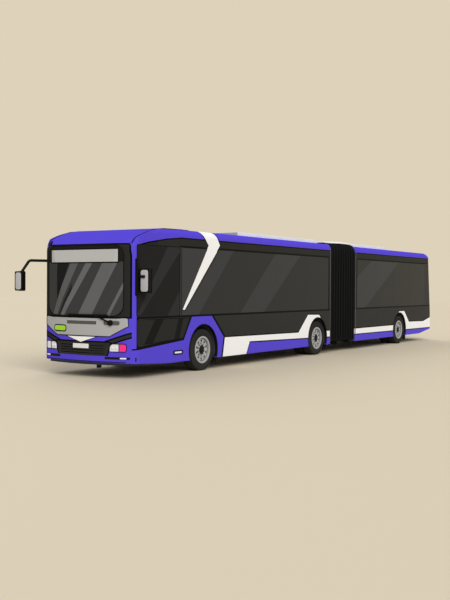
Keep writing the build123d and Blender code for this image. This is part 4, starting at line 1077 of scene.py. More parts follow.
def rim_trim(name, axle_x):
    """Hub cap, black rings of the rim face, a black ring painted as the shade of a groove, and dark discs
    painted as the shade seen through its vent holes.
    """
    work = bmesh.new()
    face = RIM_FACE_Y
    hub = [(face + 0.0225, 0.098), (face + 0.029, 0.098), (face + 0.033, 0.092), (face + 0.033, 0.070),
           (face + 0.041, 0.066), (face + 0.046, 0.050), (face + 0.048, 0.020), (face + 0.048, 0.0005),
           (face + 0.0225, 0.0005)]
    spun(work, hub, axle_x, HUB_STEPS)
    ring = [(face - 0.001, 0.106), (face + 0.005, 0.107), (face + 0.005, 0.1125), (face - 0.001, 0.1135)]
    spun(work, ring, axle_x, HUB_STEPS)
    # a raised black ring as painted shade of a groove in the rim face
    groove_shade = [(face + 0.0155, 0.2505), (face + 0.0195, 0.2515), (face + 0.0195, 0.2625),
              (face + 0.0155, 0.2635)]
    spun(work, groove_shade, axle_x, RIM_STEPS)
    under_nuts = [(face - 0.001, 0.114), (face + 0.004, 0.114), (face + 0.004, 0.151), (face - 0.001, 0.151)]
    spun(work, under_nuts, axle_x, RIM_STEPS)
    # dark discs over the vent holes, as painted shade seen through them
    for index in range(VENT_COUNT):
        turn = 2 * math.pi * (index + 0.5) / VENT_COUNT
        across, up = axle_x + VENT_RING_R * math.cos(turn), TYRE_R + VENT_RING_R * math.sin(turn)
        hole = [(across + VENT_R * a, up + VENT_R * b) for a, b in circle(VENT_STEPS)]
        lay_plate(work, hole, lambda a, b, out: Vector((a, face + 0.016 + out, b)), 0.002, 0.002, 0.2)
    return closed_mesh(name, work)


for axle, axle_x in AXLES.items():
    name = f"{axle}_left_wheel_nuts"
    nuts = shaped(name, wheel_nut(), ROUND_OF, Count=NUT_COUNT, Radius=NUT_RING_R, Turn=0.0,
                  Centre=(axle_x, RIM_FACE_Y, TYRE_R), Finish=nut_steel)
    trim = rim_trim(f"{axle}_left_hub_trim", axle_x)
    for side in ("left", "right"):
        body = f"{axle}_{side}_wheel"
        some_nuts = nuts if side == "left" else flipped(nuts, f"{axle}_right_wheel_nuts")
        some_trim = trim if side == "left" else flipped(trim, f"{axle}_right_hub_trim")
        to_piece(f"{axle}_{side}_wheel_nuts", some_nuts, nut_steel, body)
        to_piece(f"{axle}_{side}_hub_trim", some_trim, hub_black, body)

# %% [markdown]
# The wheel arches have black rubber lips, and flaps behind the wheels stop the spray. The
# lips are round strips along an arc that is measured on the body side.

# %% Arch lips and mud flaps
ARCH_R = 0.580
ARCH_FOOT_Z = 0.285
LIP_OUT = 0.006
LIP_STEPS = 40
LINER_STEPS = 36
ARCH_DROP = math.asin((TYRE_R - ARCH_FOOT_Z) / ARCH_R)


def arch_path(skin, look, axle_x):
    points = []
    for index in range(LIP_STEPS + 1):
        angle = -ARCH_DROP + (math.pi + 2 * ARCH_DROP) * index / LIP_STEPS
        x = axle_x + (ARCH_R + LIP_OUT) * math.cos(angle)
        z = TYRE_R + (ARCH_R + LIP_OUT) * math.sin(angle)
        y = on_skin(skin, look, x, z, -0.002).y
        points.append((x, y, z))
    return points, False


rubber_strips("front_arch_lips", [arch_path(FRONT_SKIN, look, AXLES[axle])
                                  for axle in ("front", "middle") for look in ("left", "right")],
              0.012, "front_section")
rubber_strips("rear_arch_lips", [arch_path(REAR_SKIN, look, AXLES["rear"]) for look in ("left", "right")],
              0.012, "rear_section")


FLAP_RIBS = 7


def flaps(name, rows, body):
    """Ribbed rubber flaps that hang behind the wheels."""
    work = bmesh.new()
    for x, inner, outer, top in rows:
        for side in (1, -1):
            low, high = sorted((side * inner, side * outer))
            soft_block(work, (x - 0.006, low, 0.120), (x + 0.006, high, top), 0.004, 1)
            soft_block(work, (x - 0.012, low, top - 0.03), (x + 0.012, high, top), 0.004, 1)
            for index in range(FLAP_RIBS):
                y = low + (high - low) * (index + 0.5) / FLAP_RIBS
                soft_block(work, (x - 0.009, y - 0.006, 0.130), (x + 0.009, y + 0.006, top - 0.04), 0.003, 1)
    return to_piece(name, closed_mesh(name, work), rubber_trim, body)


flaps("front_mud_flaps", ((5.480, 0.970, 1.255, 0.279), (-0.370, 0.640, 1.255, 0.279)), "front_section")
flaps("rear_mud_flaps", ((-6.668, 0.640, 1.255, 0.279),), "rear_section")

# %% [markdown]
# The cut edge of a wheel arch is hidden by a black liner. It is a bent sheet that lies
# just inside the arch, so a ring section is spun part of the way round the axle. A paint
# mask could blacken the edge too, but the liner is a real part with its own thickness.

# %% Arch liners


def arch_liner(work, axle_x, side):
    section = [(1.215, ARCH_R - 0.001), (1.276, ARCH_R - 0.001), (1.276, ARCH_R - 0.006),
               (1.215, ARCH_R - 0.006)]
    rings = []
    for index in range(LINER_STEPS + 1):
        angle = -ARCH_DROP + (math.pi + 2 * ARCH_DROP) * index / LINER_STEPS
        rings.append([work.verts.new((axle_x + r * math.cos(angle), side * y, TYRE_R + r * math.sin(angle)))
                      for y, r in section])
    for one, two in zip(rings, rings[1:]):
        bridge(work, one, two)
    work.faces.new(rings[0])
    work.faces.new(rings[-1])


for body, axles in (("front_section", ("front", "middle")), ("rear_section", ("rear",))):
    liners = bmesh.new()
    for axle in axles:
        for side in (1, -1):
            arch_liner(liners, AXLES[axle], side)
    name = body.replace("_section", "_arch_liners")
    to_piece(name, closed_mesh(name, liners), rubber_trim, body)

# %% [markdown]
# The bellows is a folded rubber sheet on hoops. Its shape follows a rule: the hoop's
# outline goes along the bus, and moves in and out ten times on the way. A tree bends a
# flat grid into it by reading the outline as a curve. Modelling ten folds by hand would
# give the same sheet with far more work.

# %% The bellows rule
BELLOWS_START = -0.5775
BELLOWS_END = -2.3425
BELLOWS_TOP = 3.250
BELLOWS_FOLDS = 10
FOLD_DEPTH = 0.098
CLOTH_THICKNESS = 0.004
MID_FOLD = 0.05
HALF = 1.275


def hoop_path(inset=0.0, foot=0.330):
    """The hoop's outline from the left foot over the top to the right one."""
    radius = 0.260 - inset
    half, top = HALF - inset, BELLOWS_TOP - inset
    points = [(half, foot)]
    points += [(half, foot + (top - radius - foot) * k / 6) for k in range(1, 6)]
    points += [(half - radius + radius * math.cos(math.radians(turn)),
                top - radius + radius * math.sin(math.radians(turn))) for turn in range(0, 91, 10)]
    points += [((half - radius) * k / 4, top) for k in (3, 2, 1, 0)]
    left = [(0.0, y, z) for y, z in points]
    return left + [(x, -y, z) for x, y, z in reversed(left[:-1])]


def build_gaiter():
    tree, start, end = new_rule("gaiter", (
        ("Start", FLOAT, 0.0), ("Length", FLOAT, 1.0), ("Folds", FLOAT, 10.0), ("Depth", FLOAT, 0.1),
        ("Along", "NodeSocketInt", 81), ("Around", "NodeSocketInt", 121),
        ("Finish", "NodeSocketMaterial", None)))
    hoop = step(tree, "GeometryNodeMeshToCurve", Mesh=start.outputs["Geometry"])
    grid = step(tree, "GeometryNodeMeshGrid", Vertices_X=start.outputs["Along"],
                Vertices_Y=start.outputs["Around"])
    place = step(tree, "ShaderNodeSeparateXYZ")
    feed(tree, place.inputs[0], step(tree, "GeometryNodeInputPosition").outputs[0])
    way = sums(tree, "ADD", place.outputs["X"], 0.5)
    round_way = sums(tree, "ADD", place.outputs["Y"], 0.5)
    read = step(tree, "GeometryNodeSampleCurve", {"mode": "FACTOR"}, Curves=hoop.outputs[0], Factor=round_way)
    outward = vectors(tree, "CROSS_PRODUCT", read.outputs["Tangent"], (1.0, 0.0, 0.0))
    unit = vectors(tree, "NORMALIZE", outward.outputs[0])
    phase = sums(tree, "FRACT", sums(tree, "MULTIPLY", way, start.outputs["Folds"]))
    valley = sums(tree, "ABSOLUTE", sums(tree, "SUBTRACT", sums(tree, "MULTIPLY", phase, 2.0), 1.0))
    soft = sums(tree, "POWER", valley, 1.25)
    inset = sums(tree, "MULTIPLY", soft, start.outputs["Depth"])
    push = vectors(tree, "SCALE", unit.outputs[0])
    feed(tree, push.inputs["Scale"], sums(tree, "MULTIPLY", inset, -1.0))
    moved = vectors(tree, "ADD", read.outputs["Position"], push.outputs[0])
    x = sums(tree, "ADD", start.outputs["Start"], sums(tree, "MULTIPLY", way, start.outputs["Length"]))
    shift = step(tree, "ShaderNodeCombineXYZ", X=x)
    final = vectors(tree, "ADD", moved.outputs[0], shift.outputs[0])
    bent = step(tree, "GeometryNodeSetPosition", Geometry=grid.outputs[0], Position=final.outputs[0])
    return end_rule(tree, bent.outputs[0], start, end)


GAITER = build_gaiter()
print("bellows rule has", len(GAITER.nodes), "nodes")

# %% Fold the bellows
sheet_mesh = shaped("bellows_sheet", path_mesh([(hoop_path(), False)]), GAITER, Start=BELLOWS_START,
                    Length=BELLOWS_END - BELLOWS_START, Folds=float(BELLOWS_FOLDS), Depth=FOLD_DEPTH,
                    Along=101, Around=125, Finish=bellows_skin)
work = bmesh.new()
work.from_mesh(sheet_mesh)
middle = [face for face in work.faces if abs(face.calc_center_median().y) < 0.2]
if sum(face.normal.z for face in middle) < 0:
    bmesh.ops.reverse_faces(work, faces=work.faces)
CLOTH_AREA = sum(face.calc_area() for face in work.faces)
bmesh.ops.solidify(work, geom=work.faces[:], thickness=CLOTH_THICKNESS)
sheet_mesh = bpy.data.meshes.new("bellows_sheet")
work.to_mesh(sheet_mesh)
work.free()
mid_hoop = [Vector(point) for point in hoop_path(MID_FOLD)]
bellows = to_piece("bellows_sheet", sheet_mesh, bellows_skin, "front_section", replaced=["bellows"],
                   crease=70.0)

hoops = []
for index in range(BELLOWS_FOLDS):
    x = BELLOWS_START + (BELLOWS_END - BELLOWS_START) * (index + 0.5) / BELLOWS_FOLDS
    hoops.append(([(x, y, z) for _, y, z in hoop_path(0.002)], False))
hoop_mesh = shaped("bellows_hoops", path_mesh(hoops), ROUND_STRIP, Radius=0.0085, Sides=8, Finish=hoop_rubber)
bellows_hoops = to_piece("bellows_hoops", hoop_mesh, hoop_rubber, "front_section", crease=60.0)
# Both cross the joint, so they are taken off the body they were put on and stay where they are.
for piece in (bellows, bellows_hoops):
    piece.parent = None
    del piece["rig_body"]
    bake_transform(piece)

# %% [markdown]
# Aluminium frames clamp the bellows to both sections, and a low fairing closes the gap
# between the roof units. The fairing rides on the rear section, above the folds.

# %% Bellows frames and roof fairing
for body, x in (("front_section", BELLOWS_START + 0.012), ("rear_section", BELLOWS_END - 0.012)):
    name = body.replace("_section", "_bellows_frame")
    path = [(x, y * 1.002, z) for _, y, z in hoop_path(0.004, 0.34)]
    strips(name, [(path, False)], 0.013, frame_grey, body)


def wedge(work, low, high, taper):
    """A low block whose sides lean in towards its top."""
    (x0, y0, z0), (x1, y1, z1) = low, high
    foot = [(x0, y0, z0), (x1, y0, z0), (x1, y1, z0), (x0, y1, z0)]
    crown = [(x0 + taper, y0 + taper, z1), (x1 - taper, y0 + taper, z1),
             (x1 - taper, y1 - taper, z1), (x0 + taper, y1 - taper, z1)]
    under = [work.verts.new(point) for point in foot]
    over = [work.verts.new(point) for point in crown]
    prism(work, under, over)


fairing = bmesh.new()
HALF_PLAN = [(-2.352, 1.12), (-1.46, 1.12), (-0.98, 0.80)]
plan = HALF_PLAN + [(x, -y) for x, y in reversed(HALF_PLAN)]
foot = [fairing.verts.new((x, y, 3.262)) for x, y in plan]
crown = [fairing.verts.new((-1.7 + (x + 1.7) * 0.96, y * 0.96, 3.309)) for x, y in plan]
prism(fairing, foot, crown)
bmesh.ops.bevel(fairing, geom=fairing.edges[:], offset=0.008, segments=2, affect="EDGES", profile=0.5)
to_piece("joint_fairing", closed_mesh("joint_fairing", fairing), unit_white, "rear_section")

# %% [markdown]
# The roof units are light covers over batteries and air conditioning. Screwed panels,
# louvres and round fan guards break up their tops. The rows of louvres come from the row
# rule, because they only repeat.

# %% Roof covers


def bars(count, start, step_by, size, finish_with, name):
    """A row of small soft bars."""
    work = bmesh.new()
    soft_block(work, [-s / 2 for s in size], [s / 2 for s in size], min(size) * 0.3, 1)
    return shaped(name, closed_mesh(name, work), ROW_OF, Count=count, Start=start, Step=step_by,
                  Finish=finish_with)


UNIT_TOP = 3.300
ROOF_Z = 3.200
GUARD_STEPS = 32
LOUVRE_PITCH = 0.055


def roof_cover(name, body, x_pair, joints, fans):
    top = UNIT_TOP
    work = bmesh.new()
    edges = [x_pair[0]] + list(joints) + [x_pair[1]]
    for low, high in zip(edges, edges[1:]):
        for side in (1, -1):
            near, far = sorted((side * 0.012, side * 0.925))
            wedge(work, (low + 0.012, near, top - 0.006), (high - 0.012, far, top + 0.010), 0.012)
    panels = closed_mesh(name, work)
    to_piece(name, panels, unit_white, body, crease=20.0)
    louvres, meshes = [], []
    for side in (1, -1):
        for low, high in zip(edges, edges[1:]):
            count = int((high - low - 0.3) / LOUVRE_PITCH)
            louvres.append(bars(count, (low + 0.17, side * 0.951, 3.252), (LOUVRE_PITCH, 0.0, 0.0),
                                (0.020, 0.006, 0.052), unit_white, "louvre"))
    for x, y in fans:
        ring = bmesh.new()
        for radius in (0.06, 0.13, 0.20):
            profile = [(radius - 0.006, top + 0.010), (radius + 0.006, top + 0.010),
                       (radius + 0.006, top + 0.020), (radius - 0.006, top + 0.020)]
            loops = [[ring.verts.new((x + r * ahead, y + r * aside, z)) for r, z in profile]
                     for ahead, aside in circle(GUARD_STEPS)]
            for one, two in zip(loops, loops[1:] + loops[:1]):
                bridge(ring, one, two)
        for turn in range(0, 180, 45):
            made = block(ring, (-0.205, -0.005, top + 0.012), (0.205, 0.005, top + 0.019))
            spin = Matrix.Rotation(math.radians(turn), 4, "Z")
            for vert in made:
                vert.co = spin @ vert.co + Vector((x, y, 0.0))
        meshes.append(closed_mesh("fan_guard", ring))
    to_piece(name + "_louvres", joined(name + "_louvres", louvres), unit_white, body)
    vents = joined(name + "_vents", meshes)
    to_piece(name + "_vents", vents, vent_dark, body)


roof_cover("front_roof_cover", "front_section", (-0.30, 4.10), (0.80, 1.90, 3.00),
           ((1.35, 0.47), (1.35, -0.47)))
roof_cover("rear_roof_cover", "rear_section", (-5.55, -2.40), (-4.50, -3.45), ((-5.02, 0.47), (-5.02, -0.47)))


def roof_hatch(name, x_pair, body):
    work = bmesh.new()
    wedge(work, (x_pair[0], -0.40, ROOF_Z), (x_pair[1], 0.40, ROOF_Z + 0.026), 0.03)
    bmesh.ops.bevel(work, geom=work.edges[:], offset=0.006, segments=2, affect="EDGES", profile=0.5)
    to_piece(name, closed_mesh(name, work), fairing_grey, body)


roof_hatch("front_roof_hatch", (5.90, 6.80), "front_section")
roof_hatch("rear_roof_hatch", (-7.60, -6.70), "rear_section")

# %% [markdown]
# Panes are glued into the body over a black rubber seal. A seal is a round strip along
# the pane's rounded outline, whose points are measured on the body, so it follows the
# curved front corner as well.

# %% Seals round the glass


def seal_path(skin, look, outline, out=0.001, parts=1):
    """A closed outline laid on the body."""
    ring = []
    for one, two in zip(outline, outline[1:] + outline[:1]):
        for k in range(parts):
            across = one[0] + (two[0] - one[0]) * k / parts
            up = one[1] + (two[1] - one[1]) * k / parts
            ring.append(on_skin(skin, look, across, up, out))
    return ring, True


PANE_Z = (1.290, 2.805)


def panes(start, pitch, count, missing):
    """Outlines of the side windows from front to back."""
    found = []
    for index in range(count):
        if index not in missing:
            high = start - index * pitch - 0.030
            low = start - (index + 1) * pitch + 0.030
            found.append(soft_box((low, high), PANE_Z, 0.045, 3))
    return found


def band_seal(skin, x_pair, gap):
    """A seal round a whole band of panes, open where a painted stripe runs over its top edge."""
    ring = soft_box(x_pair, PANE_Z, 0.045, 3)
    top = max(up for _, up in ring)
    for index, (one, two) in enumerate(zip(ring, ring[1:] + ring[:1])):
        if min(one[1], two[1]) > top - 0.0001 and abs(one[0] - two[0]) > 1.0:
            break
    ring = ring[index + 1:] + ring[:index + 1]
    ends = sorted(gap, key=lambda x: abs(x - ring[0][0]))
    points = [(ends[0], top)] + ring + [(ends[1], top)]
    return [on_skin(skin, "left", across, up, 0.001) for across, up in points], False


LOW_PANE = [(8.540, 0.700), (8.540, 1.235), (6.645, 1.235), (6.900, 0.790)]
DRIVER_PANE = [(7.040, 1.290), (8.545, 1.290), (8.545, 2.805), (7.040, 2.805)]
front_seals = [band_seal(FRONT_SKIN, (-0.4475, 6.980), (5.40, 6.03))]
front_seals += [seal_path(FRONT_SKIN, "right", outline) for outline in panes(7.010, 1.4975, 5, (2,))]
front_seals.append(seal_path(FRONT_SKIN, "left", rounded(LOW_PANE, 0.03, 2), parts=4))
front_seals.append(seal_path(FRONT_SKIN, "left", rounded(DRIVER_PANE, 0.05, 3), parts=6))
rubber_strips("front_window_seals", front_seals, 0.007, "front_section", 6)
rear_seals = [([on_skin(REAR_SKIN, "left", across, up, 0.001)
                for across, up in ((-8.50, 1.290), (-2.4575, 1.290), (-2.4575, 2.805), (-8.50, 2.805))],
                False)]
rear_seals += [seal_path(REAR_SKIN, "right", outline) for outline in panes(-2.4275, 1.525, 4, (1,))]
rubber_strips("rear_window_seals", rear_seals, 0.007, "rear_section", 6)

SEAM_TOP = ((8.45, 1.185), (8.20, 1.195), (7.90, 1.195), (7.55, 1.185), (7.20, 1.165), (6.85, 1.14),
            (6.50, 1.11))
roof_seam = []
for side in (1, -1):
    seam = [on_skin(FRONT_SKIN, "face", side * (1.165 + 0.002 * k), 2.835 + 0.016 * k) for k in range(10)]
    seam += [on_skin(FRONT_SKIN, "top", x, side * y) for x, y in SEAM_TOP if x < seam[9].x - 0.05]
    roof_seam.append((seam, False))
    print("roof seam rises to", [round(part, 3) for part in seam[9]], "and ends at",
          [round(part, 3) for part in seam[-1]])
rubber_strips("roof_seams", roof_seam, 0.013, "front_section", 8)

screen_outline = soft_box((-1.046, 1.046), (1.309, 2.801), 0.27, 8)
rubber_strips("screen_seal", [seal_path(FRONT_SKIN, "face", screen_outline, parts=3)], 0.010, "front_section")
tail_outline = soft_box((-0.955, 0.955), (1.555, 2.645), 0.12, 6)
TAIL_SKIN = skin_of("tail_shell", "engine_lid")


def tail_x(up):
    return on_skin(TAIL_SKIN, "tail", 1.05, up).x


rubber_strips("rear_screen_seal", [([(tail_x(up) - 0.001, y, up) for y, up in tail_outline], True)],
              0.011, "rear_section")

# %% [markdown]
# The face carries lamps, a blank number plate, a small lime badge light and air slots. All
# are thin parts on a bowed front, so each is a plate that is laid on the measured surface.

# %% Lamps and plates of the face
BOW_FRONT_X = 8.860
BOW_R = 3.963


def bow(across, up, out):
    """The bowed front plane, also where slots are cut into it."""
    return Vector((BOW_FRONT_X - (BOW_R - math.sqrt(BOW_R ** 2 - across ** 2)) + out, across, up))


def bow_plates(name, outlines, lift, material, sink=0.01, edge=0.0):
    work = bmesh.new()
    for outline in outlines:
        lay_plate(work, outline, bow, lift, sink, 0.08, edge)
    return to_piece(name, closed_mesh(name, work), material, "front_section")


def both(outline):
    return [outline, [(-across, up) for across, up in reversed(outline)]]


LAMP = [(0.733, 0.570), (0.733, 0.655), (0.755, 0.705), (0.800, 0.735), (1.075, 0.735), (1.102, 0.722),
        (1.110, 0.690), (1.110, 0.615), (1.102, 0.583), (1.075, 0.570)]
lamp_rings = [seal_path(FRONT_SKIN, "face", outline, parts=2) for outline in both(LAMP)]
divider = [([on_skin(FRONT_SKIN, "face", side * 0.950, z, 0.001) for z in (0.573, 0.60, 0.65, 0.70, 0.732)],
            False)
           for side in (1, -1)]
rubber_strips("lamp_seals", lamp_rings + divider, 0.009, "front_section")
OUTER_LAMP = [(0.955, 0.575), (1.073, 0.575), (1.098, 0.587), (1.105, 0.617), (1.105, 0.688), (1.098, 0.719),
              (1.073, 0.730), (0.955, 0.730)]
for side, outline, lens in (("left", both(OUTER_LAMP)[0], lamp_magenta),
                            ("right", both(OUTER_LAMP)[1], lens_glass)):
    plates(f"{side}_turn_lamp", [outline], FRONT_SKIN, "face", 0.004, lens, "front_section",
           edge=0.003, cut=0.05)


def dome(work, look_place, radius, height, rings=4, sides=20):
    """A lens that bulges out of the face."""
    loops = []
    for k in range(rings):
        angle = math.radians(90 * k / rings)
        wide, deep = radius * math.cos(angle), height * math.sin(angle)
        loops.append([work.verts.new(look_place(wide * a, wide * b, deep)) for a, b in circle(sides)])
    tip = work.verts.new(look_place(0.0, 0.0, height))
    for one, two in zip(loops, loops[1:]):
        bridge(work, one, two)
    for i in range(sides):
        work.faces.new((loops[-1][i], loops[-1][(i + 1) % sides], tip))
    work.faces.new(loops[0])


lenses = bmesh.new()
for side in (1, -1):
    for y in (0.800, 0.885):
        centre = on_skin(FRONT_SKIN, "face", side * y, 0.650, 0.0)
        dome(lenses, lambda a, b, out: centre + Vector((out, a, b)), 0.034, 0.010)
to_piece("lamp_lenses", closed_mesh("lamp_lenses", lenses), lens_glass, "front_section")

bow_plates("number_plate", [soft_box((-0.215, 0.215), (0.622, 0.718), 0.012, 3)],
           0.010, plate_white, 0.03, 0.003)
bow_plates("slot_face", [soft_box((-0.400, 0.400), (1.136, 1.194), 0.02, 3)], -0.002, slot_grey,
           0.02)
pill = soft_box((-0.835, -0.425), (0.955, 1.105), 0.074, 5)
plates("badge_base", [pill], FRONT_SKIN, "face", 0.005, rubber_trim, "front_section",
       cut=0.05)
plates("badge_light", [soft_box((-0.812, -0.448), (0.978, 1.082), 0.051, 5)], FRONT_SKIN, "face",
       0.011, lime_lens, "front_section", edge=0.004, cut=0.05)
plates("wiper_pod_cover", [soft_box((0.600, 0.960), (1.128, 1.212), 0.04, 5)], FRONT_SKIN, "face",
       0.016, slot_grey, "front_section", edge=0.005, cut=0.05)
fog = soft_box((0.620, 1.175), (0.412, 0.462), 0.022, 4)
plates("fog_slots", both(fog), FRONT_SKIN, "face", 0.003, rubber_trim, "front_section",
       cut=0.05)
fog_lens = soft_box((0.975, 1.110), (0.421, 0.453), 0.014, 4)
plates("fog_lenses", both(fog_lens), FRONT_SKIN, "face", 0.007, lens_glass, "front_section",
       cut=0.05)
MARKER_AT = {"left": 7.095, "right": 6.900}
for look, middle in MARKER_AT.items():
    marker = soft_box((middle - 0.185, middle + 0.185), (0.430, 0.530), 0.045, 4)
    marker_lens = soft_box((middle - 0.130, middle + 0.130), (0.460, 0.500), 0.018, 4)
    plates(f"{look}_marker_base", [marker], FRONT_SKIN, look, 0.004, rubber_trim, "front_section")
    plates(f"{look}_marker_lens", [marker_lens], FRONT_SKIN, look, 0.009, lens_glass, "front_section",
           edge=0.003)

for look in ("left", "right"):
    plates(f"{look}_corner_slot", [soft_box((8.545, 8.570), (0.365, 0.455), 0.010, 3)],
           FRONT_SKIN, look, 0.003, rubber_trim, "front_section")

PANEL = [(1.140, 1.268), (1.146, 1.100), (0.735, 0.884), (-0.735, 0.884), (-1.146, 1.100), (-1.140, 1.268)]
panel_ring = seal_path(FRONT_SKIN, "face", [(y * 0.998, z) for y, z in PANEL], 0.001, 8)
lip = ([on_skin(FRONT_SKIN, "face", 1.10 - 2.20 * k / 24, 0.354, 0.0) for k in range(25)], False)
rubber_strips("face_lines", [panel_ring, lip], 0.0085, "front_section")

# %% [markdown]
# The mirrors have pale shells over black arms, and real mirror glass on the side that the
# driver sees. The shell is a soft-edged box, which is what such housings are.

# %% Mirror shells
MIRRORS = (
    # centre, size
    ((9.185, -1.4525, 2.035), (0.110, 0.205, 0.410)),
    ((8.475, 1.440, 2.050), (0.110, 0.230, 0.490)),
)


def shell_paint(tree):
    """Pale in the middle of each front, black round the edges."""
    place = own_place(tree)
    masks = []
    for (x, y, z), (deep, wide, tall) in MIRRORS:
        front = soft_box((y - wide / 2 + 0.020, y + wide / 2 - 0.022),
                         (z - tall / 2 + 0.022, z + tall / 2 - 0.022), 0.045, 2)
        ahead = sums(tree, "GREATER_THAN", along(tree, place, (1.0, 0.0, 0.0)), x + deep / 2 - 0.012)
        behind = sums(tree, "LESS_THAN", along(tree, place, (1.0, 0.0, 0.0)), x + deep / 2 + 0.05)
        masks.append(sums(tree, "MULTIPLY", inside(tree, place, front, "YZ"),
                          sums(tree, "MULTIPLY", ahead, behind)))
    return cover(tree, TRIM_BLACK, tone(186, 186, 190), either(tree, masks))


shell_coat = finish("shell_coat", TRIM_BLACK, sheen=0.4, dust=0.0, ripple=260.0, bump=0.04, paint=shell_paint)
shells, faces, rims = bmesh.new(), bmesh.new(), []
for (x, y, z), (deep, wide, tall) in MIRRORS:
    back = x - deep / 2
    soft_block(shells, (back + 0.022, y - wide / 2 - 0.003, z - tall / 2 - 0.003),
               (x + deep / 2 + 0.003, y + wide / 2 + 0.003, z + tall / 2 + 0.003), 0.020, 3)
    soft_block(faces, (back - 0.003, y - wide / 2 + 0.016, z - tall / 2 + 0.018),
               (back + 0.004, y + wide / 2 - 0.016, z + tall / 2 - 0.018), 0.002, 1)
    outline = soft_box((y - wide / 2, y + wide / 2), (z - tall / 2, z + tall / 2), 0.02, 3)
    rims.append(([(back + 0.014, across, up) for across, up in outline], True))
    front = soft_box((y - wide / 2 + 0.006, y + wide / 2 - 0.006),
                     (z - tall / 2 + 0.006, z + tall / 2 - 0.006), 0.02, 3)
    rims.append(([(x + deep / 2 - 0.004, across, up) for across, up in front], True))
to_piece("mirror_shells", closed_mesh("mirror_shells", shells), shell_coat, "front_section")
to_piece("mirror_glass", closed_mesh("mirror_glass", faces), mirror_silver, "front_section")
rubber_strips("mirror_rims", rims, 0.012, "front_section")
arm = bmesh.new()
soft_block(arm, (8.530, 1.262, 2.108), (8.562, 1.462, 2.166), 0.012, 2)
to_piece("mirror_arm_cover", closed_mesh("mirror_arm_cover", arm), black_plastic, "front_section")

# %% [markdown]
# The doors have rubber fingers where the leaves meet; here they get only seals round their
# glass and grab bars inside. The rest of the saloon gets its poles, which are bent tube all
# over a bus.

# %% Doors and poles
for door in ("front_door", "middle_door", "rear_door"):
    for leaf in "ab":
        low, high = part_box(f"{door}_leaf_{leaf}")
        glass_low, glass_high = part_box(f"{door}_glass_{leaf}")
        body = f"{door}_{leaf}"
        outline = soft_box((glass_low.x + 0.004, glass_high.x - 0.004),
                           (glass_low.z + 0.004, glass_high.z - 0.004), 0.03, 3)
        ring = [(x, glass_low.y + 0.001, z) for x, z in outline]
        rubber_strips(f"{door}_seal_{leaf}", [(ring, True)], 0.006, body, 6)
        inner_x = low.x + 0.16 if leaf == "b" else high.x - 0.16
        bar = [(inner_x, high.y - 0.002, 0.95), (inner_x, high.y + 0.035, 0.98),
               (inner_x, high.y + 0.035, 1.55), (inner_x, high.y - 0.002, 1.58)]
        strips(f"{door}_bar_{leaf}", [(bar, False)], 0.011, rail_steel, body, 10)


def poles(name, rows, rails, body):
    paths = [([(x, y, low), (x, y, (low + high) / 2), (x, y, high)], False) for x, y, low, high in rows]
    paths += [(points, False) for points in rails]
    strips(name, paths, 0.0165, rail_steel, body, 12)


poles("front_poles",
      [(x, y, 0.342, 3.02) for x, y in ((4.35, -0.45), (2.20, -0.45), (4.35, 0.45), (2.20, 0.45),
                                                      (6.90, -0.55), (5.30, 0.45), (1.00, 0.45))],
      [[(6.90, 0.45, 2.02), (0.2, 0.45, 2.02), (-0.42, 0.45, 2.02)]], "front_section")
poles("rear_poles",
      [(x, y, 0.342, 3.02) for x, y in ((-3.55, -0.45), (-5.25, -0.45), (-3.55, 0.45), (-5.25, 0.45))],
      [[(-2.50, 0.45, 2.02), (-4.0, 0.45, 2.02), (-6.6, 0.45, 2.02)]], "rear_section")

# %% [markdown]
# The tail has a louvred engine lid, a handle, a blank plate and reflectors. The lid swings
# up, so its parts ride on the lid, and the others on the rear section.

# %% Tail parts
LID_SKIN = skin_of("engine_lid")
SLAT_COUNT = 9
slat = bmesh.new()
soft_block(slat, (-0.010, -0.62, -0.011), (0.008, 0.62, 0.011), 0.005, 2)
slat_seed = closed_mesh("slat", slat)
low_hit, high_hit = on_skin(LID_SKIN, "tail", 0.0, 0.72), on_skin(LID_SKIN, "tail", 0.0, 1.08)
louvres = shaped("lid_louvres", slat_seed, ROW_OF, Count=SLAT_COUNT, Start=tuple(low_hit),
                 Step=tuple((high_hit - low_hit) / (SLAT_COUNT - 1)), Finish=vent_dark)
to_piece("lid_louvres", louvres, vent_dark, "engine_lid")
TAIL_PARTS = (
    # name, across, up, corner, corner steps, skin, lift, edge, finish, body, slot
    ("lid_handle", (-0.09, 0.09), (0.572, 0.608), 0.010, 2, LID_SKIN, 0.014, 0.0,
     black_plastic, "engine_lid", "black_plastic"),
    ("rear_number_plate", (-0.26, 0.26), (1.30, 1.41), 0.012, 3, TAIL_SKIN, 0.008, 0.003,
     plate_white, "rear_section", "white_paint"),
    ("rear_reflectors", (0.93, 1.13), (0.56, 0.60), 0.010, 2, TAIL_SKIN, 0.006, 0.0,
     tail_red, "rear_section", "red_lamp"),
    ("high_stop_lamp", (-0.22, 0.22), (2.735, 2.765), 0.01, 3, TAIL_SKIN, 0.006, 0.002,
     tail_red, "rear_section", "red_lamp"),
)
for name, across, up, corner, steps, skin, lift, edge, material, body, slot in TAIL_PARTS:
    outline = soft_box(across, up, corner, steps)
    outlines = both(outline) if across[0] > 0 else [outline]
    plates(name, outlines, skin, "tail", lift, material, body, edge=edge, cut=0.3)
lamp_outline = soft_box((1.006, 1.134), (0.876, 1.234), 0.025, 4)
LAMP_SKIN = skin_of("tail_shell", "tail_lamps")
tail_rings = [([on_skin(LAMP_SKIN, "tail", y, z, 0.001) for y, z in outline], True)
              for outline in both(lamp_outline)]
rubber_strips("tail_lamp_seals", tail_rings, 0.008, "rear_section")

# %% [markdown]
# The bus stands on a plain pale floor under a wide soft sky, as in a photographer's
# studio. Two broad lamps shine from far away, so that the floor is evenly lit and its far
# edge melts into the backdrop. A lamp close by would leave a bright pool on the floor.

# %% Floor and light
FLOOR_TONE = tone(222, 210, 186)


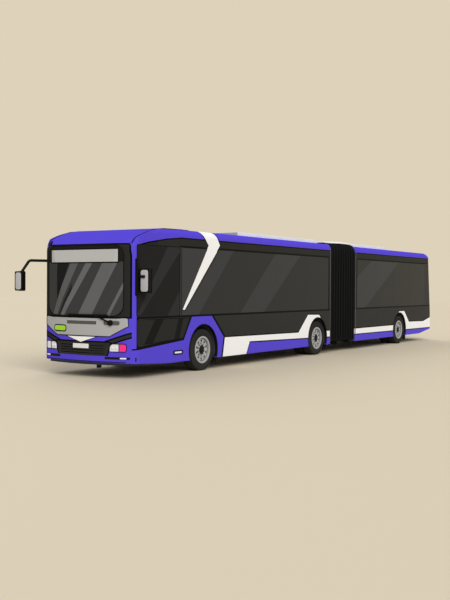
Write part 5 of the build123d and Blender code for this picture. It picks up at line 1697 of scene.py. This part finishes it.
def make_floor():
    mesh = bpy.data.meshes.new("studio_floor")
    reach = 90.0
    corners = [(-reach, -reach, 0.0), (reach, -reach, 0.0), (reach, reach, 0.0), (-reach, reach, 0.0)]
    mesh.from_pydata(corners, [], [(0, 1, 2, 3)])
    floor = put_in_scene("studio_floor", mesh)
    material = bpy.data.materials.new("floor_paper")
    material.use_nodes = True
    tree = material.node_tree
    shader = tree.nodes["Principled BSDF"]
    paper = tree.nodes.new("ShaderNodeTexNoise")
    paper.inputs["Scale"].default_value = 1.5
    feed(tree, shader.inputs["Base Color"],
         cover(tree, FLOOR_TONE, tone(218, 206, 181), paper.outputs["Fac"]))
    shader.inputs["Roughness"].default_value = 0.9
    shader.inputs["Specular IOR Level"].default_value = 0.1
    dress(floor, material)
    return floor


def make_sky():
    world = bpy.data.worlds.new("studio_sky")
    world.use_nodes = True
    tree = world.node_tree
    sky = tree.nodes["Background"]
    sky.inputs["Color"].default_value = (1.0, 1.0, 1.0, 1.0)
    sky.inputs["Strength"].default_value = 0.41
    backdrop = tree.nodes.new("ShaderNodeBackground")
    backdrop.inputs["Color"].default_value = FLOOR_TONE
    backdrop.inputs["Strength"].default_value = 1.0
    rays = tree.nodes.new("ShaderNodeLightPath")
    mix = tree.nodes.new("ShaderNodeMixShader")
    seen = sums(tree, "MAXIMUM", rays.outputs["Is Camera Ray"], rays.outputs["Is Glossy Ray"])
    seen = sums(tree, "MAXIMUM", seen, rays.outputs["Is Transmission Ray"])
    tree.links.new(seen, mix.inputs[0])
    tree.links.new(sky.outputs[0], mix.inputs[1])
    tree.links.new(backdrop.outputs[0], mix.inputs[2])
    tree.links.new(mix.outputs[0], tree.nodes["World Output"].inputs["Surface"])
    bpy.context.scene.world = world


def soft_lamp(name, place, power, spread):
    """A broad lamp that shines from far away, so that it lights near and far alike."""
    light = bpy.data.lights.new(name, "SUN")
    light.energy = power
    light.angle = math.radians(spread)
    lamp = put_in_scene(name, light)
    lamp.location = place
    lamp.rotation_mode = "QUATERNION"
    lamp.rotation_quaternion = (-Vector(place)).to_track_quat("-Z", "Y")
    return lamp


make_floor()
make_sky()
soft_lamp("key_lamp", (20.0, 24.0, 23.0), 2.0, 40.0)
soft_lamp("back_lamp", (-20.0, -22.0, 22.0), 1.0, 60.0)
print("studio ready")
